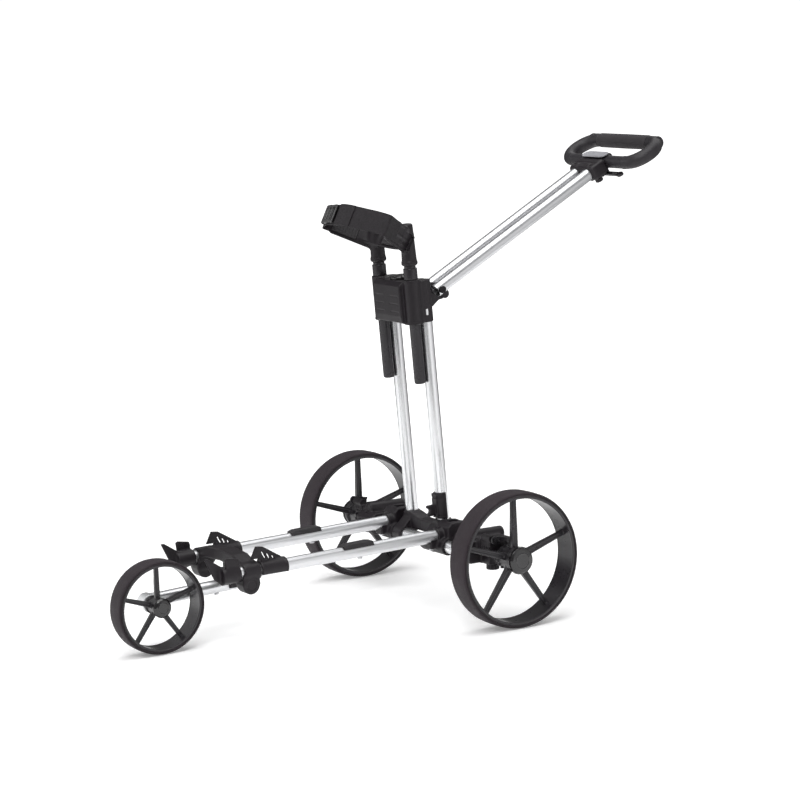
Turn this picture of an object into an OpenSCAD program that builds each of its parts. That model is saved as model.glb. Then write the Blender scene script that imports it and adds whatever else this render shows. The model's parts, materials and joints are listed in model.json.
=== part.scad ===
// Three-wheeled golf push trolley: folding tube frame, bag supports, brakes and a grip loop.
// +X is forwards, +Y is the trolley's left, +Z is up. All sizes are in millimetres.

/* [Wheels] */
// rear wheel outside radius
rear_r = 145; // [120:1:165]
// rear tyre width
rear_w = 59; // [40:1:70]
// distance between the middle planes of the rear wheels
rear_track = 630.6; // [560:1:700]
// front wheel outside radius
front_r = 97.8; // [80:0.1:130]
// front tyre width
front_w = 50; // [35:1:60]
// rear axle to front axle
wheelbase = 700; // [600:1:800]
// front wheel's middle plane, to the left of the front tube
front_off = 42.6; // [35:0.1:55]
// spokes in every wheel
spokes = 5; // [3:1:8]
// brake notches in each rear hub
notches = 16; // [8:4:24]

/* [Frame tubes] */
// outside radius of every frame tube
tube_r = 14; // [11:0.5:18]
// wall of the frame tubes
tube_t = 1.6; // [1:0.1:3]
// half distance between the two lower bars
bar_y = 101.5; // [80:0.5:130]
// lower bar height above the ground at the rear axle
bar_z = 168.7; // [150:0.5:190]
// downward slope of the lower bars towards the front, degrees
bar_tilt = 1.6; // [0:0.1:5]
// rear end of the lower bars, ahead of the rear axle
bar_back = 47; // [40:1:80]
// front end of the lower bars, ahead of the rear axle
bar_front = 574; // [500:1:600]
// hinge tube centre ahead of the rear axle
pivot_x = 44; // [35:1:60]
// hinge tube centre above the ground
pivot_z = 146; // [135:1:160]
// half distance between the uprights
up_y = 64.2; // [50:0.1:80]
// forward lean of the uprights, degrees
lean = 4.06; // [0:0.01:10]
// top of the uprights along their length
up_top = 716; // [650:1:800]

/* [Handle] */
// handle hinge ahead of the rear axle (negative is behind)
hinge_x = -17.5; // [-40:0.5:0]
// handle hinge above the ground
hinge_z = 690; // [600:1:750]
// rise of the handle tubes, degrees
h_tilt = 28.85; // [10:0.05:60]
// half distance between the handle tubes
h_y = 22.1; // [18:0.1:30]
// hinge to the middle of the grip loop's front bar
loop_s = 517.5; // [450:0.5:600]
// front bar to rear bar of the grip loop, centre to centre
loop_d = 83.5; // [70:0.5:120]
// half length of the loop's straight bars
loop_y = 95; // [80:1:120]
// foam grip outside radius
foam_r = 16.5; // [15:0.5:20]

/* [Bag supports] */
// radius of the upper cradle's legs
rod_r = 12.5; // [10:0.5:15]
// half distance between the cradle's legs
rod_y = 63.4; // [50:0.1:80]
// cradle legs ahead of the uprights
rod_x = 27.6; // [27:0.1:40]
// bottom of the cradle legs along the uprights
rod_bot = 499; // [450:1:600]
// cradle opening, half width at the wing tips
cradle_y = 120; // [100:1:140]
// strap width
strap_w = 47; // [30:1:50]
// lower support ahead of the rear axle
foot_x = 514; // [480:1:540]

/* [Hidden] */
$fn = 96;
// running clearance of pins and slides, on the radius
run = 0.06;
slide_gap = 0.04;
// toothed brake ring on each rear hub, and the pawl's pin beside it
ring_r = 27.5;
pawl_z = 184.5;
pawl_x = 30;
// screws that hold the lower bars in their brackets
screw_x = 70;
ux0 = -1.18;
half = rear_track / 2;
rear_edge = hinge_x - (loop_s + loop_d) * cos(h_tilt) - foam_r;
lever_n = -23.2;
// cradle: its plane rises forwards by this angle from square to the legs
cradle_tilt = 31.06;
cradle_z = 800;
wing_x = 101;
wing_a = atan2(cradle_y - rod_y, wing_x);
wing_l = norm([cradle_y - rod_y, wing_x]);
// the saddle between the legs curves round a bag of this radius, centred saddle_x ahead of them
saddle_r = 108;
saddle_x = 103;
// strap: outer radius of its front, centre of that arc, lower edge and half its angle
strap_r = 226.6;
strap_x = 140.6 - strap_r;
strap_z = -18;
strap_a = asin(128 / strap_r);
knob_x = 4;
knob_y = 240;
shift_x = -(wheelbase + front_r + rear_edge) / 2;
ft_tilt = 2.6;
ft_z = front_r + 3.7;

black = [0.16, 0.15, 0.16];
silver = [0.82, 0.83, 0.84];
steel = [0.6, 0.6, 0.62];
rubber = [0.2, 0.19, 0.2];

// ---------- shared frames and shapes ----------

module place() {
    translate([shift_x, 0, 0]) children();
}

module flip(s) {
    mirror([0, s < 0 ? 1 : 0, 0]) children();
}

module in_upright() {
    translate([ux0, 0, 0]) rotate([0, lean, 0]) children();
}

module in_bars() {
    translate([0, 0, bar_z]) rotate([0, bar_tilt, 0]) children();
}

module in_handle() {
    translate([hinge_x, 0, hinge_z]) rotate([0, h_tilt, 0]) children();
}

module in_front_tube() {
    translate([wheelbase, 0, ft_z]) rotate([0, ft_tilt, 0]) children();
}

// cylinder along +Y from y0 to y1
module cyl_y(r, y0, y1) {
    translate([0, y0, 0]) rotate([-90, 0, 0]) cylinder(r = r, h = y1 - y0);
}

// cylinder along +X from x0 to x1
module cyl_x(r, x0, x1) {
    translate([x0, 0, 0]) rotate([0, 90, 0]) cylinder(r = r, h = x1 - x0);
}

// box from one corner to the other
module box(a, b) {
    translate(a) cube([b[0] - a[0], b[1] - a[1], b[2] - a[2]]);
}

// rounded rectangle centred on the origin
module rrect(w, h, r) {
    square([w - 2 * r, h], center = true);
    square([w, h - 2 * r], center = true);
    for (i = [-1, 1], j = [-1, 1])
        translate([i * (w / 2 - r), j * (h / 2 - r)]) circle(r = r);
}

// flat shape drawn in X and Z, made solid between y0 and y1
module slab_y(y0, y1) {
    translate([0, y1, 0]) rotate([90, 0, 0]) linear_extrude(y1 - y0) children();
}

// flat shape drawn in Y and Z, made solid between x0 and x1
module slab_x(x0, x1) {
    translate([x0, 0, 0]) rotate([90, 0, 90]) linear_extrude(x1 - x0) children();
}

// ---------- wheels: drawn about the Z axis, +Z outwards, then turned ----------

module as_wheel(x, y, z) {
    translate([x, y, z]) rotate([-90, 0, 0]) children();
}

module spoke(r0, r1, w0, w1, t) {
    translate([0, 0, -t / 2]) linear_extrude(t)
        polygon([[r0, -w0 / 2], [r1, -w1 / 2], [r1, w1 / 2], [r0, w0 / 2]]);
}

module hoop(r_out, wall, w) {
    difference() {
        cylinder(r = r_out, h = w, center = true);
        cylinder(r = r_out - wall, h = w + 2, center = true);
    }
}

module rear_rim() {
    color(black) difference() {
        union() {
            hoop(rear_r - 7, 3.6, rear_w - 5);
            for (i = [-1, 1]) translate([0, 0, i * (rear_w / 2 - 2.5)]) hoop(rear_r - 5, 5.6, 3);
            for (i = [0 : spokes - 1]) rotate([0, 0, -90 + i * 360 / spokes])
                spoke(20, rear_r - 9, 15, 10.5, 12);
            translate([0, 0, -23]) cylinder(r = 23, h = 44);
            translate([0, 0, 12]) cylinder(r = 28.5, h = 9);
            translate([0, 0, -29]) cylinder(r = ring_r, h = 6);
        }
        for (i = [0 : notches - 1]) rotate([0, 0, i * 360 / notches])
            translate([ring_r + 0.6, 0, -30]) cylinder(r = 3.4, h = 8);
        translate([0, 0, -30]) cylinder(r = 8, h = 60);
        translate([0, 0, -30]) cylinder(r = 14, h = 12);
        translate([0, 0, 8]) cylinder(r = 14, h = 20);
    }
}

module rear_tyre() {
    color(rubber) difference() {
        union() {
            cylinder(r = rear_r, h = rear_w - 13, center = true);
            for (i = [-1, 1]) translate([0, 0, i * (rear_w / 2 - 6.5)])
                rotate_extrude() translate([rear_r - 6.5, 0]) circle(r = 6.5, $fn = 48);
            cylinder(r = rear_r - 6.5, h = rear_w, center = true);
        }
        cylinder(r = rear_r - 7, h = rear_w + 2, center = true);
        for (i = [-1, 1]) translate([0, 0, i * (rear_w / 2 - 1)])
            cylinder(r = rear_r - 5, h = 6, center = true);
    }
}

module wheel_cap(r, z0, lip, rise) {
    big = (r * r + rise * rise) / (2 * rise);
    color(black) difference() {
        union() {
            translate([0, 0, z0]) cylinder(r = r, h = lip);
            intersection() {
                translate([0, 0, z0 + lip + rise - big]) sphere(r = big, $fn = 160);
                translate([0, 0, z0 + lip]) cylinder(r = r, h = rise + 1);
            }
            translate([0, 0, z0 + lip + rise - 1.6]) difference() {
                cylinder(r = r * 0.56, h = 1.5);
                translate([0, 0, -1]) cylinder(r = r * 0.5, h = 4);
            }
        }
        translate([0, 0, z0 - 1]) cylinder(r = r * 0.42, h = lip - 0.6);
    }
}

module bearing_pair(r_in, r_out, z_a, z_b, h) {
    color(steel) for (z = [z_a, z_b]) translate([0, 0, z]) difference() {
        cylinder(r = r_out, h = h);
        translate([0, 0, -1]) cylinder(r = r_in, h = h + 2);
    }
}

module rear_wheel_at() {
    as_wheel(0, half, rear_r) children();
}

module front_wheel_at() {
    as_wheel(wheelbase, front_off, front_r) children();
}

module left_rim() rear_wheel_at() rear_rim();
module left_tyre() rear_wheel_at() rear_tyre();
module left_cap() rear_wheel_at() wheel_cap(29.5, 21, 5, 6);
module left_bearings() rear_wheel_at() bearing_pair(6 + run, 14, -28, 8, 10);
module right_rim() flip(-1) left_rim();
module right_tyre() flip(-1) left_tyre();
module right_cap() flip(-1) left_cap();
module right_bearings() flip(-1) left_bearings();

module front_rim() {
    color(black) front_wheel_at() difference() {
        union() {
            hoop(front_r - 6, 3.8, front_w - 5);
            for (i = [-1, 1]) translate([0, 0, i * (front_w / 2 - 2.5)]) hoop(front_r - 4.4, 5.4, 3);
            for (i = [0 : spokes - 1]) rotate([0, 0, -90 + i * 360 / spokes])
                spoke(14, front_r - 8, 12, 8.5, 10);
            translate([0, 0, -20]) cylinder(r = 16, h = 40);
            translate([0, 0, -24]) cylinder(r = 19, h = 8);
        }
        translate([0, 0, -30]) cylinder(r = 7, h = 60);
        translate([0, 0, -25]) cylinder(r = 11, h = 9);
        translate([0, 0, 9]) cylinder(r = 11, h = 20);
    }
}

module front_tyre() {
    color(rubber) front_wheel_at() difference() {
        union() {
            cylinder(r = front_r, h = front_w - 12, center = true);
            for (i = [-1, 1]) translate([0, 0, i * (front_w / 2 - 6)])
                rotate_extrude() translate([front_r - 6, 0]) circle(r = 6, $fn = 48);
            cylinder(r = front_r - 6, h = front_w, center = true);
        }
        cylinder(r = front_r - 6, h = front_w + 2, center = true);
        for (i = [-1, 1]) translate([0, 0, i * (front_w / 2 - 1)])
            cylinder(r = front_r - 4.4, h = 6, center = true);
    }
}

module front_cap() front_wheel_at() wheel_cap(20.5, 20, 4, 4.5);
module front_bearings() front_wheel_at() bearing_pair(5 + run, 11, -25, 9, 8);

// ---------- rear axle group ----------

module hinge_tube() {
    color(silver) translate([pivot_x, 0, pivot_z]) difference() {
        cyl_y(tube_r, -86, 86);
        cyl_y(tube_r - 2, -90, 90);
    }
}

module axle_tubes() {
    color(silver) for (s = [-1, 1]) flip(s) translate([pivot_x, 0, pivot_z]) difference() {
        cyl_y(tube_r, 118, 216);
        cyl_y(tube_r - 2, 110, 240);
    }
}

module left_bracket() {
    color(black) difference() {
        union() {
            translate([20.5, 0, 163]) slab_y(85, 133) rrect(49, 66, 9);
            translate([pivot_x, 0, pivot_z]) cyl_y(19, 74, 133);
            translate([59, 0, 154]) slab_y(88, 115) rrect(40, 26, 8);
            translate([14, 0, 187]) slab_y(90, 126) rrect(30, 20, 5);
        }
        translate([pivot_x, 0, pivot_z]) cyl_y(tube_r, 60, 86.2);
        translate([pivot_x, 0, pivot_z]) cyl_y(tube_r, 117.8, 140);
        translate([0, bar_y, 0]) in_bars() cyl_x(tube_r + 0.05, bar_back - 0.4, 140);
        box([0, 98, 190], [30, 118, 200]);
        translate([0, bar_y, 0]) in_bars() translate([screw_x, 0, -50]) cylinder(r = 3.1, h = 50);
    }
}

module right_bracket() flip(-1) left_bracket();

module left_bar() {
    color(silver) translate([0, bar_y, 0]) in_bars() difference() {
        union() {
            cyl_x(tube_r, bar_back + 5, bar_front);
            intersection() {
                translate([bar_back + 14, 0, 0]) sphere(r = tube_r + 2.4);
                cyl_x(tube_r, bar_back, bar_back + 6);
            }
        }
        cyl_x(tube_r - tube_t, bar_back + 4, bar_front + 1);
        for (x = [screw_x, 250]) translate([x, 0, -30]) cylinder(r = 3.1, h = 30);
    }
}

module right_bar() flip(-1) left_bar();

module left_housing() {
    color(black) difference() {
        union() {
            translate([18, 0, 149]) slab_y(162, 228) rrect(84, 48, 12);
            translate([-1, 200, 178]) cyl_x(14, -46, 46);
            translate([-1, 0, 171]) slab_y(186, 214) rrect(84, 20, 4);
            translate([0, 0, 169]) slab_y(206, 276) rrect(70, 20, 6);
            translate([0, 0, rear_r]) cyl_y(19, 220, 283);
            translate([4, 0, 136]) slab_y(222, 258) rrect(40, 24, 6);
            translate([0, 0, 160]) slab_y(222, 250) rrect(40, 14, 3);
            translate([pawl_x, 0, pawl_z]) cyl_y(8, 246, 280);
            translate([26, 0, 176]) slab_y(246, 274) rrect(16, 16, 3);
        }
        translate([pivot_x, 0, pivot_z]) cyl_y(tube_r, 150, 216.2);
        translate([0, 0, rear_r]) cyl_y(6, 180, 290);
        translate([knob_x, knob_y, 90]) cylinder(r = 4 + run, h = 42);
        translate([pawl_x, 0, pawl_z]) cyl_y(4, 262, 290);
    }
}

module right_housing() flip(-1) left_housing();

module one_rear_axle() {
    color(steel) translate([0, 0, rear_r]) {
        cyl_y(6, 184, half + 19);
        cyl_y(9.5, half + 18.2, half + 23);
    }
    color(steel) translate([pawl_x, 0, pawl_z]) {
        cyl_y(4, 264, 292);
        cyl_y(6, 292, 293.5);
    }
}

module rear_axles() {
    one_rear_axle();
    flip(-1) one_rear_axle();
}

module left_pawl() {
    color(black) difference() {
        union() {
            translate([pawl_x, 0, pawl_z]) cyl_y(8.5, 286, 291);
            translate([0, 0, pawl_z]) slab_y(286, 291) {
                polygon([[32, 8.4], [-6, 2], [-6, -2.5], [28, -8]]);
                polygon([[-3.85, -7.6], [1.55, -7.6], [2.85, -1], [-5.15, -1]]);
                translate([-1.15, -7.6]) circle(r = 2.7);
            }
        }
        translate([pawl_x, 0, pawl_z]) cyl_y(4 + run, 280, 300);
    }
}

module right_pawl() flip(-1) left_pawl();

module left_knob() {
    color(black) translate([knob_x, knob_y, 0]) difference() {
        union() {
            translate([0, 0, 111]) cylinder(r = 14, h = 12.4);
            translate([0, 0, 118]) cylinder(r = 4, h = 13);
        }
        for (i = [0 : 13]) rotate([0, 0, i * 360 / 14])
            translate([15, 0, 110]) cylinder(r = 2.2, h = 14);
    }
}

module right_knob() flip(-1) left_knob();

// ---------- front wheel arm ----------

module front_tube() {
    color(silver) in_front_tube() difference() {
        cyl_x(tube_r, -224, -16);
        cyl_x(tube_r - tube_t, -230, -10);
        translate([-158, 0, -30]) cylinder(r = 3.1, h = 30);
        translate([0, 0, front_r - ft_z]) cyl_y(19, -30, 30);
    }
}

module front_fork() {
    color(silver) difference() {
        union() {
            translate([wheelbase, 0, front_r]) cyl_y(19, -16, 15);
            in_front_tube() cyl_x(tube_r - tube_t, -44, -8);
        }
        translate([wheelbase, 0, front_r]) cyl_y(5, -20, 20);
    }
}

module front_axle() {
    color(steel) translate([wheelbase, 0, front_r]) {
        cyl_y(5, -18, front_off + 18);
        cyl_y(8.5, -21, -16.2);
        cyl_y(8, front_off + 17.2, front_off + 19.6);
    }
}

// ---------- lower bag support ----------

module belly() {
    translate([foot_x + 5, 0, 0]) slab_y(bar_y - 17, bar_y + 17) {
        translate([0, 128]) circle(r = 19);
        translate([-19, 128]) square([38, 24]);
    }
}

module bag_foot() {
    color(black) difference() {
        union() {
            for (s = [-1, 1]) flip(s) {
                translate([0, bar_y, 0]) in_bars() cyl_x(19, foot_x - 18.5, foot_x + 20);
                belly();
            }
            slab_x(foot_x - 20, foot_x + 18) polygon([[-100, 152], [-100, 171], [-58, 184],
                [0, 188], [58, 184], [100, 171], [100, 152], [58, 159], [0, 162], [-58, 159]]);
            box([foot_x - 34, -13, 108], [foot_x + 4, 13, 165]);
            in_front_tube() cyl_x(19, -226, -182);
        }
        for (s = [-1, 1]) translate([0, s * bar_y, 0]) in_bars() cyl_x(tube_r, 0, 700);
        in_front_tube() cyl_x(tube_r, -224.2, 0);
        slab_x(foot_x - 40, foot_x - 8) for (s = [-1, 1]) translate([s * 48, 170]) rrect(44, 7, 3);
    }
}

module foot_front_left() {
    color(black) difference() {
        union() {
            translate([0, bar_y, 0]) in_bars() cyl_x(17.5, 541, 582);
            slab_y(bar_y - 6, bar_y - 1) polygon([[618, 193], [610, 193], [578, 172], [549, 170],
                [549, 150], [560, 134], [578, 133], [596, 147], [607, 170]]);
            slab_y(bar_y + 6, bar_y + 11) polygon([[577, 188], [572, 191], [546, 187], [543, 181],
                [543, 150], [572, 150]]);
            for (i = [0 : 3]) slab_y(bar_y + 4, bar_y + 7)
                translate([550 + i * 7, 178]) rotate(-5) square([2.4, 18], center = true);
        }
        translate([0, bar_y, 0]) in_bars() cyl_x(tube_r + run, 500, bar_front + 1.5);
    }
}

module foot_front_right() flip(-1) foot_front_left();

module foot_rear_left() {
    color(black) difference() {
        union() {
            translate([0, bar_y, 0]) in_bars() cyl_x(17.5, 430, 493);
            slab_y(bar_y - 6, bar_y - 1) polygon([[429, 150], [429, 161], [441, 178], [481, 202],
                [498, 204], [511, 178], [493, 178], [493, 150]]);
        }
        translate([0, bar_y, 0]) in_bars() cyl_x(tube_r + run, 400, 700);
        for (i = [0 : 2]) slab_y(bar_y - 10, bar_y + 4)
            translate([480 - i * 11, 184 - i * 3.6]) rotate(28) rrect(2.8, 17 - i * 4, 1.3);
    }
}

module foot_rear_right() flip(-1) foot_rear_left();

module bumpers() {
    color(rubber) for (s = [-1, 1])
        translate([s < 0 ? 11 : 0, s * bar_y, 0]) in_bars() difference() {
            intersection() {
                slab_y(-12, 12) polygon([[214, 0], [221, 18], [234, 20.5], [284, 19], [293, 16],
                    [296, 0]]);
                cyl_x(22, 200, 300);
            }
            cyl_x(tube_r + 0.02, 190, 310);
        }
}

module screw_up(h) {
    cylinder(r = 5.2, h = 3);
    cylinder(r = 2.9, h = h);
}

module bar_screws() {
    color(steel) {
        for (s = [-1, 1]) translate([0, s * bar_y, 0]) in_bars() {
            translate([screw_x, 0, -29]) screw_up(16.5);
            translate([250, 0, -tube_r - 3]) screw_up(4.4);
        }
        in_front_tube() translate([-158, 0, -tube_r - 3]) screw_up(9);
    }
}

// ---------- folding upright frame ----------

module yoke() {
    color(black) difference() {
        union() {
            in_upright() for (s = [-1, 1]) translate([0, s * up_y, 160]) cylinder(r = 16.6, h = 34);
            slab_x(-3, 31) polygon([[-72, 160], [-72, 192], [-48, 194], [-30, 190], [-12, 184],
                [12, 182], [30, 184], [48, 190], [60, 192], [72, 190], [72, 160]]);
            translate([pivot_x, 0, pivot_z]) for (s = [-1, 1]) flip(s) cyl_y(19, 40, 72.5);
            for (s = [-1, 1]) flip(s) slab_y(40, 72.5)
                polygon([[22, 192], [pivot_x + 19, 150], [pivot_x + 8, 129], [-2, 160], [-2, 190]]);
        }
        translate([pivot_x, 0, pivot_z]) cyl_y(tube_r + run, -90, 90);
        in_upright() for (s = [-1, 1]) translate([0, s * up_y, 170]) cylinder(r = tube_r, h = 60);
    }
}

module left_upright() {
    color(silver) in_upright() translate([0, up_y, 170]) difference() {
        cylinder(r = tube_r, h = up_top - 170);
        translate([0, 0, -1]) cylinder(r = tube_r - tube_t, h = up_top);
    }
}

module right_upright() flip(-1) left_upright();

module frame_clip() {
    color(black) in_upright() translate([0, up_y, 197]) difference() {
        union() {
            cylinder(r = 16.8, h = 58);
            box([14, -9, 8], [38, 1, 32]);
            box([10, -12, 2], [19, 8, 56]);
        }
        translate([0, 0, -1]) cylinder(r = tube_r + 0.02, h = 60);
        box([-30, -30, -1], [-2, 30, 60]);
        translate([38, -4, 20]) rotate([90, 0, 0]) cylinder(r = 6, h = 30, center = true);
    }
}

// the bracket that joins the uprights, carries the handle hinge and guides the cradle legs
module tongue() {
    difference() {
        union() {
            slab_y(-7.4, 7.4) polygon([[44, 712], [-14, 702.5], [-28.5, 694], [-31, 684],
                [-52, 682], [-50, 668], [-28, 664], [-12, 651], [42, 642]]);
            translate([hinge_x, 0, hinge_z]) cyl_y(13, -7.4, 7.4);
        }
        translate([hinge_x, 0, hinge_z]) cyl_y(5, -20, 20);
        translate([-45, 0, 676]) cyl_y(4 + run, -20, 20);
        translate([-45, 0, 676]) cyl_y(11, -20, -2.9);
        translate([-45, 0, 676]) cyl_y(11, 2.9, 20);
    }
}

module mid_bracket() {
    color(black) {
        difference() {
            in_upright() union() {
                for (s = [-1, 1]) {
                    translate([rod_x, s * rod_y, 629]) cylinder(r = 18, h = 96);
                    translate([0, s * up_y, 630]) cylinder(r = 16.4, h = 91);
                    translate([0, s * up_y - 13, 634]) cube([rod_x, 26, 84]);
                }
                slab_y(-54, 54) polygon([[-12, 641], [-12, 716], [-8, 721], [44, 721], [55, 712],
                    [55, 648], [52, 633], [44, 629], [40, 641]]);
            }
            in_upright() {
                box([-7, -46, 620], [46, 46, 709]);
                box([40, -42, 620], [50, 42, 704]);
                for (s = [-1, 1]) {
                    translate([rod_x, s * rod_y, 600]) cylinder(r = rod_r + slide_gap, h = 150);
                    translate([0, s * up_y, 600]) cylinder(r = tube_r, h = up_top - 600);
                    translate([4, s * 90, 652]) rotate([90, 0, 0])
                        linear_extrude(24, center = true) rrect(7, 14, 3);
                }
                translate([14, 0, 715.5]) cylinder(r = 23.4, h = 10);
                translate([14, 0, 690]) cylinder(r = 6 + run, h = 40);
            }
        }
        difference() {
            tongue();
            in_upright() box([-6.5, -46, 620], [80, 46, 730]);
        }
        in_upright() box([-9, -7.4, 646], [49, 7.4, 690]);
    }
}

module release_button() {
    color(black) in_upright() translate([14, 0, 0]) {
        intersection() {
            translate([0, 0, 660]) sphere(r = 70.5, $fn = 160);
            translate([0, 0, 720.6]) cylinder(r = 22.8, h = 12);
        }
        translate([0, 0, 700]) cylinder(r = 6, h = 24);
    }
}

module hinge_bolt() {
    color(steel) translate([hinge_x, 0, hinge_z]) {
        cyl_y(5, -40, 40);
        cyl_y(8, 36.5, 41);
        cyl_y(8, -41, -36.5);
    }
}

module lock_wheel() {
    color(black) translate([-45, 0, 676]) {
        cyl_y(4, -4, 4);
        cyl_y(10, 3, 7.4);
        cyl_y(10, -7.4, -3);
    }
}

// ---------- handle ----------

module left_handle_tube() {
    color(silver) in_handle() translate([0, h_y, 0]) difference() {
        cyl_x(tube_r, -496, 8);
        cyl_x(tube_r - tube_t, -500, 12);
        cyl_y(5 + run, -30, 30);
    }
}

module right_handle_tube() flip(-1) left_handle_tube();

module handle_clamp() {
    color(black) in_handle() difference() {
        union() {
            translate([-484, 0, 0]) slab_y(-44, 44) rrect(44, 34, 9);
            for (i = [0, 1]) box([-519 + i * 17, 8, -29], [-514 + i * 17, 20, -12]);
            translate([-480, 27, -18.5]) cylinder(r = 10, h = 10);
            translate([-519, 0, -2.3]) slab_y(-30, 30) rrect(40, 29.6, 8);
        }
        for (s = [-1, 1]) translate([0, s * h_y, 0]) cyl_x(tube_r, -496.2, -450);
        translate([-loop_s, 0, 0]) cyl_y(tube_r + run, -60, 60);
        translate([0, 14, lever_n]) cyl_x(2.5, -530, -480);
        translate([-480, 27, -30]) cylinder(r = 3 + run, h = 17);
        console_foot();
    }
}

// foot of the console plate, pressed into a pocket of the clamp
module console_foot() {
    box([-505.5, -20, 10], [-499, 14, 20.4]);
}

module console() {
    color([0.5, 0.5, 0.52]) in_handle() {
        translate([-517, -3, 16.6]) rotate([0, -8, 0]) linear_extrude(3) rrect(26, 84, 12.9);
        console_foot();
    }
}

module clamp_lever() {
    color(black) in_handle() difference() {
        union() {
            translate([0, 14, lever_n]) cyl_x(5.8, -513.5, -502.5);
            box([-513.5, 14, lever_n - 5.8], [-502.5, 74, lever_n + 0.7]);
            translate([-508, 72, lever_n - 5.8]) cylinder(r = 7.5, h = 6.5);
        }
        translate([0, 14, lever_n]) cyl_x(2.5 + run, -520, -490);
        box([-510.5, 34, -40], [-505.5, 66, -20]);
    }
}

module lever_pin() {
    color(steel) in_handle() translate([0, 14, lever_n]) cyl_x(2.5, -519.5, -496.5);
}

module clamp_knob() {
    color(black) in_handle() translate([-480, 27, 0]) difference() {
        union() {
            translate([0, 0, -28]) cylinder(r = 9, h = 9);
            translate([0, 0, -20]) cylinder(r = 3, h = 6);
        }
        for (i = [0 : 7]) rotate([0, 0, i * 45])
            translate([10.5, 0, -30]) cylinder(r = 2.6, h = 14);
    }
}

// half-round side of the grip loop
module loop_arc(r) {
    translate([-loop_s - loop_d / 2, loop_y, 0])
        rotate_extrude(angle = 180, start = 0) translate([loop_d / 2, 0]) circle(r = r);
}

module grip_loop() {
    color(black) in_handle() {
        translate([-loop_s, 0, 0]) cyl_y(tube_r, -loop_y, loop_y);
        translate([-loop_s - loop_d, 0, 0]) cyl_y(11, -loop_y - 4, loop_y + 4);
        for (s = [-1, 1]) flip(s) {
            loop_arc(tube_r);
            translate([-loop_s - loop_d, 0, 0]) cyl_y(14.6, loop_y - 4, loop_y + 22);
        }
    }
}

module grip_foam() {
    color(rubber) in_handle() translate([-loop_s - loop_d, 0, 0]) difference() {
        cyl_y(foam_r, -loop_y + 4.2, loop_y - 4.2);
        cyl_y(11.02, -loop_y, loop_y);
    }
}

module grip_caps() {
    color(black) in_handle() for (s = [-1, 1]) flip(s) difference() {
        translate([-loop_s - loop_d, loop_y + 22, 0]) intersection() {
            translate([0, -8, 0]) sphere(r = 17.6);
            cyl_y(15.4, 0.02, 12);
        }
        loop_arc(tube_r + 0.02);
    }
}

// ---------- upper bag cradle ----------

module left_leg() {
    color(black) in_upright() translate([rod_x, rod_y, 0]) {
        translate([0, 0, rod_bot]) cylinder(r = rod_r, h = 786 - rod_bot);
        translate([0, 0, 725.6]) cylinder(r = 15, h = 24);
    }
}

module right_leg() flip(-1) left_leg();

// the cradle's own frame: X forwards in its plane, Z square to that plane
module in_cradle() {
    in_upright() translate([rod_x, 0, cradle_z]) rotate([0, -cradle_tilt, 0]) children();
}

// a wing's own frame: X runs outwards from the leg, Y is the outer side
module in_wing() {
    in_cradle() translate([0, rod_y, 0]) rotate([0, 0, wing_a]) children();
}

// upright band of an arc round the frame's Z axis, half_a degrees to each side of direction dir
module arc_band(r0, r1, z0, z1, dir, half_a) {
    rotate([0, 0, dir - half_a]) rotate_extrude(angle = 2 * half_a, $fn = 200)
        translate([r0, z0]) square([r1 - r0, z1 - z0]);
}

module cradle() {
    color(black) difference() {
        union() {
            for (s = [-1, 1]) flip(s) {
                in_upright() translate([rod_x, rod_y, 755]) cylinder(r1 = 16.6, r2 = 13.6, h = 90);
                in_wing() slab_y(-2, 4) polygon([[-5, -21], [-12, 22], [30, 29], [wing_l - 8, 29],
                    [wing_l, 22], [wing_l, -8], [wing_l - 12, -21]]);
            }
            in_cradle() translate([saddle_x, 0, 0])
                arc_band(saddle_r, saddle_r + 5, -10, 28, 180, 50);
        }
        for (s = [-1, 1]) in_upright() translate([rod_x, s * rod_y, 700])
            cylinder(r = rod_r, h = 86.2);
    }
}

module cradle_pads() {
    color(rubber) {
        in_cradle() translate([saddle_x, 0, 0])
            arc_band(saddle_r - 4, saddle_r - 0.02, -5, 24, 180, 20);
        for (s = [-1, 1]) flip(s) in_wing() box([44, -5, -14], [100, -2.02, 24]);
    }
}

// band round the front of the cradle, with ends along the wings' outer sides
module strap() {
    color(rubber) {
        in_cradle() translate([strap_x, 0, 0]) {
            arc_band(strap_r - 2.4, strap_r, strap_z, strap_z + strap_w, 0, strap_a);
            arc_band(strap_r - 0.1, strap_r + 2, strap_z - 0.5, strap_z + strap_w + 0.5, 2.5, 7);
        }
        for (s = [-1, 1]) flip(s) in_wing()
            box([68, 4.1, strap_z], [wing_l + 3.4, 6.5, strap_z + strap_w]);
    }
}

module strap_buckle() {
    color(black) in_cradle() translate([strap_x, 0, 0]) rotate([0, 0, -14])
        translate([strap_r, 0, strap_z]) difference() {
            box([0.15, -33, 3], [7, 34, strap_w - 3]);
            for (y = [-22, 0, 22]) box([3, y - 7, 9], [9, y + 7, strap_w - 9]);
        }
}

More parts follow.
